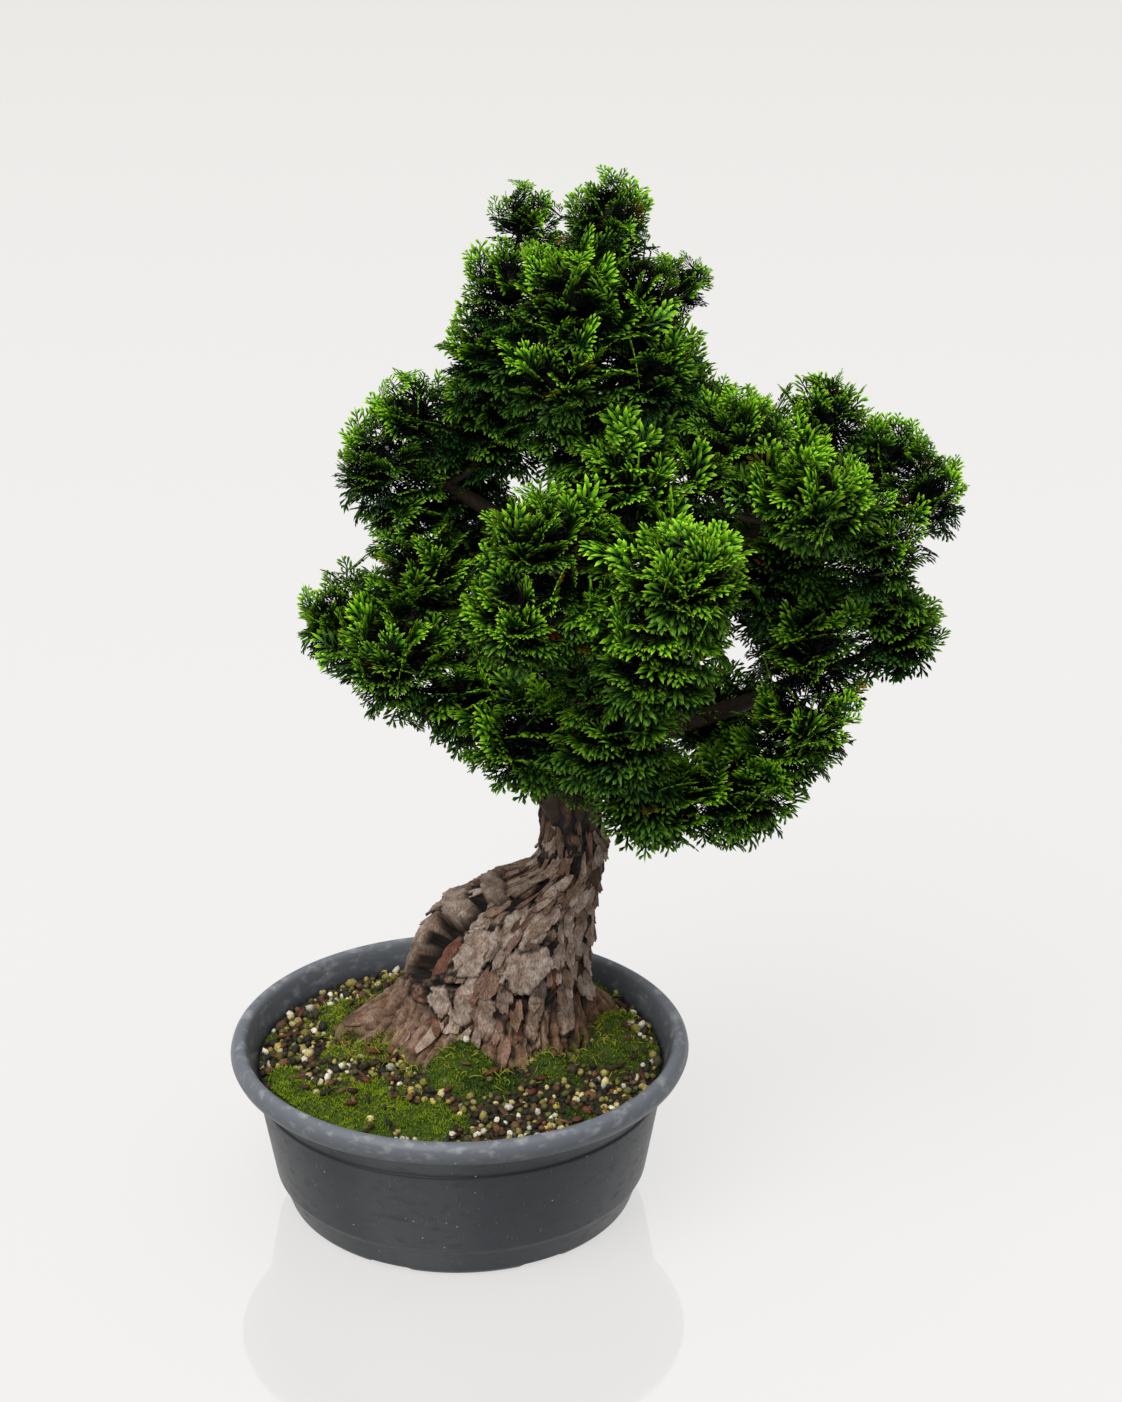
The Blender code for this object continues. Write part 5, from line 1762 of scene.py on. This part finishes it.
@dataclass
class Canopy:
    """All the foliage: fronds of five sprays that grow out of every clump up to the canopy's outline."""

    clumps: Sequence[Clump]
    spray: Spray = Spray()
    density: float = 7300.0
    full_width: float = 0.027
    furthest: float = 1.6
    reach_steps: int = 13
    buried: float = 1.6
    frond_share: float = 0.80
    frond_lengths: tuple[float, float] = (0.0140, 0.0270)
    blend: float = 3.6
    core_share: float = 0.38
    layout: Sequence[tuple[float, float, float]] = (
        # Where a spray starts along its frond, its turn in degrees, its share of the frond's length
        (0.40, 0.0, 0.62), (0.24, 27.0, 0.60), (0.21, -28.0, 0.61), (0.06, 54.0, 0.55), (0.03, -56.0, 0.54),
    )
    tier: float = 0.0130
    tier_pull: float = 0.88
    stalk_radius: float = 0.00050

    def crowding(self, points: Array) -> Array:
        """How deep each point lies among the clumps: 1 on the canopy's outline and more inside.

        Formula: the sum over the clumps of exp(-3.6 (q - 1)), where q is the distance from the clump's middle
        measured in its own half sizes.

        Args:
            points: Places, one row each.

        Returns:
            The sum for each.
        """
        total = np.zeros(points.shape[:-1])
        for clump in self.clumps:
            q = np.linalg.norm((points - np.array(clump.centre)) / clump.half_sizes, axis=-1)
            total += np.exp(-self.blend * (q - 1))
        return total

    def outward_ways(self, clump: Clump, rng: np.random.Generator) -> tuple[Array, Array, Array]:
        """Spreads directions over a clump and finds how far the canopy's outline lies in each.

        Formula: a golden-angle spiral over the sphere, jittered. The reach is the first of 13 steps from 1 to
        1.6 times the clump's own size at which the crowding falls below 1.

        Args:
            clump: The clump.
            rng: The source of random numbers.

        Returns:
            The directions, the reach in metres, and how much other clumps crowd each place.
        """
        area = 4 * math.pi * clump.half_width * (clump.half_width + clump.half_height) / 2
        # Small clumps are thicker, or one could see through them
        count = int(area * self.density * np.clip(self.full_width / clump.half_width, 1, 1.7))
        index = np.arange(count) + rng.random()
        level = 1 - 2 * (index + 0.5 * rng.random(count)) / (count + 1)
        turn = index * math.pi * (3 - math.sqrt(5)) + rng.normal(0, 0.12, count)
        flat = np.sqrt(np.clip(1 - level**2, 0, 1))
        ways = np.stack([flat * np.cos(turn), flat * np.sin(turn), level], -1)
        own = 1 / np.linalg.norm(ways / clump.half_sizes, axis=-1)
        steps = np.linspace(1.0, self.furthest, self.reach_steps)
        places = np.array(clump.centre) + ways[:, None] * (own[:, None] * steps)[..., None]
        crowd = self.crowding(places)
        beyond = crowd < 1
        first = np.where(beyond.any(1), beyond.argmax(1), len(steps) - 1)
        return ways, own * steps[first], crowd[:, 0] - 1

    def fronds(self, clump: Clump, rng: np.random.Generator) -> dict[str, Array]:
        """Chooses a clump's fronds: where each is rooted, how it is turned, its length, droop and light.

        Args:
            clump: The clump.
            rng: The source of random numbers.

        Returns:
            Arrays by name, one row for each frond.
        """
        ways, reach, hidden = self.outward_ways(clump, rng)
        shown = hidden < self.buried
        inner = (~shown & (rng.random(len(ways)) < 0.20)) | (shown & (rng.random(len(ways)) < 0.16))
        ways, reach = np.vstack([ways[shown], ways[inner]]), np.concatenate([reach[shown], reach[inner]])
        deep = np.arange(len(ways)) >= shown.sum()
        share = np.where(deep, rng.uniform(0.62, 0.84, len(ways)), rng.uniform(0.88, 1.04, len(ways)))
        tip = np.array(clump.centre) + ways * (reach * share)[:, None]
        # Round the sides the fronds hang in tiers, like shingles, with a dark gap under each
        phase = self.tier * rng.random()
        phase = phase + 0.004 * np.sin(2 * np.arctan2(ways[:, 1], ways[:, 0]) + 6 * rng.random())
        level = np.round((tip[:, 2] - phase) / self.tier) * self.tier + phase
        side = smoothstep(0.90, 0.60, np.abs(ways[:, 2]))
        tip[:, 2] += self.tier_pull * side * (level - tip[:, 2])
        # Where nothing grows above, the fronds stand up; below others they reach out and hang
        free = 1 - smoothstep(0.10, 1.10, self.crowding(tip + 0.034 * UPWARDS))
        lean = np.arcsin(ways[:, 2]) + 0.42 * free
        # Those at the very top lie lower again and close over the clump's middle
        steepest = 1.50 - 0.75 * smoothstep(0.72, 0.96, ways[:, 2])
        start = np.minimum(np.where(lean > 0, 0.26 + 0.80 * lean, 0.26 + 0.65 * lean), steepest)
        flat = unit(ways * (1.0, 1.0, 0.0) + rng.normal(0, 0.12, ways.shape) * (1.0, 1.0, 0.0))
        heading = np.cos(start)[:, None] * flat + np.sin(start)[:, None] * UPWARDS
        heading = unit(heading + rng.normal(0, 0.13, ways.shape))
        loose = np.where(ways[:, 2] > 0.6, 0.40, 0.24)[:, None]
        normal = square_to(heading, UPWARDS + loose * rng.normal(0, 1.0, ways.shape))
        length = self.frond_share * clump.half_width * rng.uniform(0.80, 1.20, len(ways))
        length = np.clip(length, *self.frond_lengths)
        droop = 0.15 + (0.60 - 0.40 * free) * smoothstep(0.95, 0.45, ways[:, 2])
        droop = droop + rng.normal(0, 0.22, len(ways))
        droop = np.where(np.abs(droop) < 0.05, 0.05, droop)
        chord = heading * (np.sin(droop) / droop)[:, None] - normal * ((1 - np.cos(droop)) / droop)[:, None]
        # Tone is painted light and shade: fronds that face up and have nothing above them are lighter, and
        # deep ones darker
        tone = 0.05 + 0.42 * smoothstep(-0.4, 0.8, ways[:, 2])
        tone = tone + 0.60 * free * smoothstep(-0.35, 0.65, ways[:, 2])
        tone = tone + rng.normal(0, 0.13, len(ways)) - 0.30 * deep
        # The front of the tree is painted lighter, as painted light
        tone = tone + 0.22 * smoothstep(0.01, -0.08, tip[:, 1]) - 0.06
        return {
            "root": tip - chord * length[:, None],
            "heading": heading,
            "normal": normal,
            "length": length,
            "droop": droop,
            "tone": np.clip(tone, 0, 1),
            "centre": np.broadcast_to(np.array(clump.centre), ways.shape),
        }

    def laid_out(self, fronds: dict[str, Array], rng: np.random.Generator) -> tuple[Array, Array]:
        """Sets the sprays of all fronds in place.

        Formula: a spray is turned and moved in its frond's plane. The plane is then cupped by the square of
        the distance aside, bent into an arc about its cross axis by the droop over the frond's length, and
        carried to its root.

        Args:
            fronds: What fronds() returns.
            rng: The source of random numbers.

        Returns:
            The points as (frond, spray, point, 3), and how far along its finger each point of a spray is.
        """
        shapes, along = self.spray.points(rng)
        count, layout = len(fronds["length"]), np.array(self.layout)
        length = fronds["length"][:, None, None]
        pick = rng.integers(0, len(shapes), (count, len(layout)))
        local = shapes[pick]
        turn = np.radians(layout[:, 1]) + rng.normal(0, 0.13, (count, len(layout)))
        size = length * (layout[:, 2] * rng.uniform(0.88, 1.14, (count, len(layout))))[..., None]
        cos, sin = np.cos(turn)[..., None], np.sin(turn)[..., None]
        u = layout[:, 0][None, :, None] * length + size * (local[..., 0] * cos - local[..., 1] * sin)
        v = size * (local[..., 0] * sin + local[..., 1] * cos)
        rise = size * local[..., 2] + v * rng.normal(0, 0.10, (count, len(layout)))[..., None]
        rise = rise - 0.22 * v**2 / length
        bend = fronds["droop"][:, None, None] / length
        ahead = np.sin(bend * u) / bend + rise * np.sin(bend * u)
        above = -(1 - np.cos(bend * u)) / bend + rise * np.cos(bend * u)
        side = np.cross(fronds["normal"], fronds["heading"])
        place = (
            fronds["root"][:, None, None]
            + ahead[..., None] * fronds["heading"][:, None, None]
            + v[..., None] * side[:, None, None]
            + above[..., None] * fronds["normal"][:, None, None]
        )
        return place, along

    def cores(self, clumps: Sequence[Clump], rng: np.random.Generator) -> tuple[Array, list[Array]]:
        """Makes each clump's core of crowded twiglets, painted near black as deep shade: a lumpy rounded body
        at 0.38 of the clump's size.

        Args:
            clumps: The clumps.
            rng: The source of random numbers.

        Returns:
            The points and the arrays of faces.
        """
        rows, columns = 5, 9
        lean = np.linspace(0, math.pi, rows + 2)[1:-1][::-1, None]
        turn = full_turn(columns)
        ball = [np.sin(lean) * np.cos(turn), np.sin(lean) * np.sin(turn), np.cos(lean) + 0 * turn]
        ball = np.vstack([np.stack(ball, -1).reshape(-1, 3), -UPWARDS, UPWARDS])
        sizes = np.array([clump.half_sizes for clump in clumps])
        lumps = rng.uniform(0.80, 1.18, (len(clumps), len(ball), 1)) * self.core_share
        points = np.array([clump.centre for clump in clumps])[:, None] + ball * sizes[:, None] * lumps
        faces = [repeated(part, len(ball), len(clumps)) for part in capped_grid(rows, columns)]
        return points.reshape(-1, 3), faces

    def depth_shade_mark(self, points: Array) -> Array:
        """Returns the painted shade at each point among the clumps, from 0 at the outline to 1 deep inside.
        """
        return smoothstep(0.02, 0.44, np.log(np.maximum(self.crowding(points), 1)) / self.blend)

    def build(self, region: Region, finish: Material) -> Piece:
        """Makes one region of the canopy: its sprays, the stalks that carry them and the clumps' cores.

        Args:
            region: The region.
            finish: The leaf material.

        Returns:
            The piece, which stands for the region's clumps.
        """
        rng = np.random.default_rng(SEED + 100 + list(Region).index(region))
        groups = [self.fronds(clump, rng) for clump in region.clumps]
        fronds = {name: np.concatenate([group[name] for group in groups]) for name in groups[0]}
        leaves, along = self.laid_out(fronds, rng)
        count, sprays, each, _ = leaves.shape
        per_frond = sprays * each
        old = (rng.random((count, sprays, 1)) > 0.996) * smoothstep(0.5, 1.0, along)
        leaves = leaves.reshape(-1, 3)
        tone = np.repeat(fronds["tone"], per_frond)
        along = np.tile(along, count * sprays)
        leaf_marks = marks_of(len(leaves), along, tone, self.depth_shade_mark(leaves), old.ravel())
        length = fronds["length"][:, None]
        middle = fronds["root"] + fronds["heading"] * (0.45 * length) - fronds["normal"] * (0.08 * length)
        start = fronds["centre"] + 0.35 * (fronds["root"] - fronds["centre"])
        routes = np.stack([start, fronds["root"], middle], 1)
        stalks, stalk_faces = tubes(routes, np.full((count, 3), self.stalk_radius), 3)
        stalk_tone = np.repeat(fronds["tone"], 9) * 0.6
        stalk_marks = marks_of(len(stalks), 0.25, stalk_tone, self.depth_shade_mark(stalks))
        cores, core_faces = self.cores(region.clumps, rng)
        points = np.vstack([leaves, stalks, cores])
        # The cores carry a depth of 1: painted near black, as deep shade
        marks = np.vstack([leaf_marks, stalk_marks, marks_of(len(cores), 0.0, 0.0, 1.0)])
        faces = [repeated(self.spray.faces(), each, count * sprays)]
        faces += [rows + len(leaves) for rows in stalk_faces]
        faces += [rows + len(leaves) + len(stalks) for rows in core_faces]
        name = f"leaves_{region.name.lower()}"
        made = put_mesh(name, points, faces, finish, {"leaf": marks}, smooth=False)
        return settle(made, "foliage", *dict.fromkeys(f"foliage_{clump.name}" for clump in region.clumps))


# The studio


@dataclass(frozen=True)
class SoftLight:
    """A far, soft light: the way it comes from, how wide it looks in degrees, and its power and colour."""

    name: str
    comes_from: tuple[float, float, float]
    width: float
    power: float
    colour: str


@dataclass(frozen=True)
class Studio:
    """The pale floor, the soft lights and the camera."""

    floor_half_width: float = 9.0
    surround: float = 0.30
    lights: Sequence[SoftLight] = (
        SoftLight("key_light", (-0.45, -0.72, 1.0), 50.0, 2.10, "#FFFDF8"),
        SoftLight("top_light", (0.20, 0.00, 1.0), 80.0, 1.00, "#FFFFFF"),
    )
    camera_place: tuple[float, float, float] = (0.0573, -1.6112, 0.9560)
    camera_pitch: float = math.radians(90 - 22.1)
    focal_pixels: float = 3200.0
    image_height: float = 1402.0
    sensor_height: float = 36.0

    def build_floor(self, finish: Material) -> None:
        """Lays the floor, which throws no light up, as if dark cloth lay round the pot out of view.

        Args:
            finish: The floor's material.
        """
        corners = np.array([(-1, -1, 0), (1, -1, 0), (1, 1, 0), (-1, 1, 0)]) * self.floor_half_width
        floor = put_mesh("studio_floor", corners, [np.array([(0, 1, 2, 3)])], finish, smooth=False)
        floor.visible_diffuse = False
        floor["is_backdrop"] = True

    def build_lights(self) -> None:
        """Sets the soft lights and the even light all round."""
        for row in self.lights:
            light = bpy.data.lights.new(row.name, "SUN")
            light.angle = math.radians(row.width)
            light.energy = row.power
            light.color = linear(row.colour)[:3]
            lamp = bpy.data.objects.new(row.name, light)
            lamp.rotation_euler = Vector(row.comes_from).to_track_quat("Z", "Y").to_euler()
            bpy.context.scene.collection.objects.link(lamp)
        world = bpy.data.worlds.new("studio_surround")
        world.use_nodes = True
        background = world.node_tree.nodes["Background"]
        background.inputs["Color"].default_value = linear("#FFFFFF")
        background.inputs["Strength"].default_value = self.surround
        bpy.context.scene.world = world
        bpy.context.scene.view_settings.view_transform = "Standard"

    def build_camera(self) -> None:
        """Sets up the camera where the photograph was taken from."""
        camera = bpy.data.cameras.new("photo_camera")
        camera.sensor_fit = "VERTICAL"
        camera.sensor_height = self.sensor_height
        camera.lens = self.sensor_height * self.focal_pixels / self.image_height
        camera.clip_end = 60.0
        holder = bpy.data.objects.new("photo_camera", camera)
        holder.location = self.camera_place
        holder.rotation_euler = (self.camera_pitch, 0.0, 0.0)
        bpy.context.scene.collection.objects.link(holder)
        bpy.context.scene.camera = holder


def main() -> None:
    """Builds the dressed tree in order."""
    logging.basicConfig(level=logging.INFO, format="%(name)s: %(message)s")
    sizes = {"cad": [list(corner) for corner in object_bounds()]}
    studio = Studio()
    studio.build_floor(OpalAcrylic().build())
    studio.build_lights()
    studio.build_camera()
    pot, trunk, limbs = NurseryPot(), Trunk(), Limbs(ALL_CLUMPS)
    bed = SoilBed(pot, trunk)
    bark, moss = CypressBark().build(), LivingMoss().build()
    pot.build(MouldedPolypropylene().build())
    bed.build(PottingBed().build())
    bed.build_grit(TintedGrain("washed_mineral_grit", 0.72).build())
    bed.build_chips(TintedGrain("broken_pine_bark", 0.8).build())
    bed.build_moss(moss)
    bed.build_strands(moss)
    trunk.build(bark)
    trunk.build_flakes(bark)
    limbs.build(TwigBark().build())
    leaf, canopy = CypressLeaf().build(), Canopy(ALL_CLUMPS)
    for region in Region:
        canopy.build(region, leaf)
    sizes["visual"] = [list(corner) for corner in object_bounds()]
    for name, (low, high) in sizes.items():
        LOG.info("%s size in mm: %s", name, np.round(np.subtract(high, low) * MM_PER_M, 1).tolist())


if __name__ == "__main__":
    main()
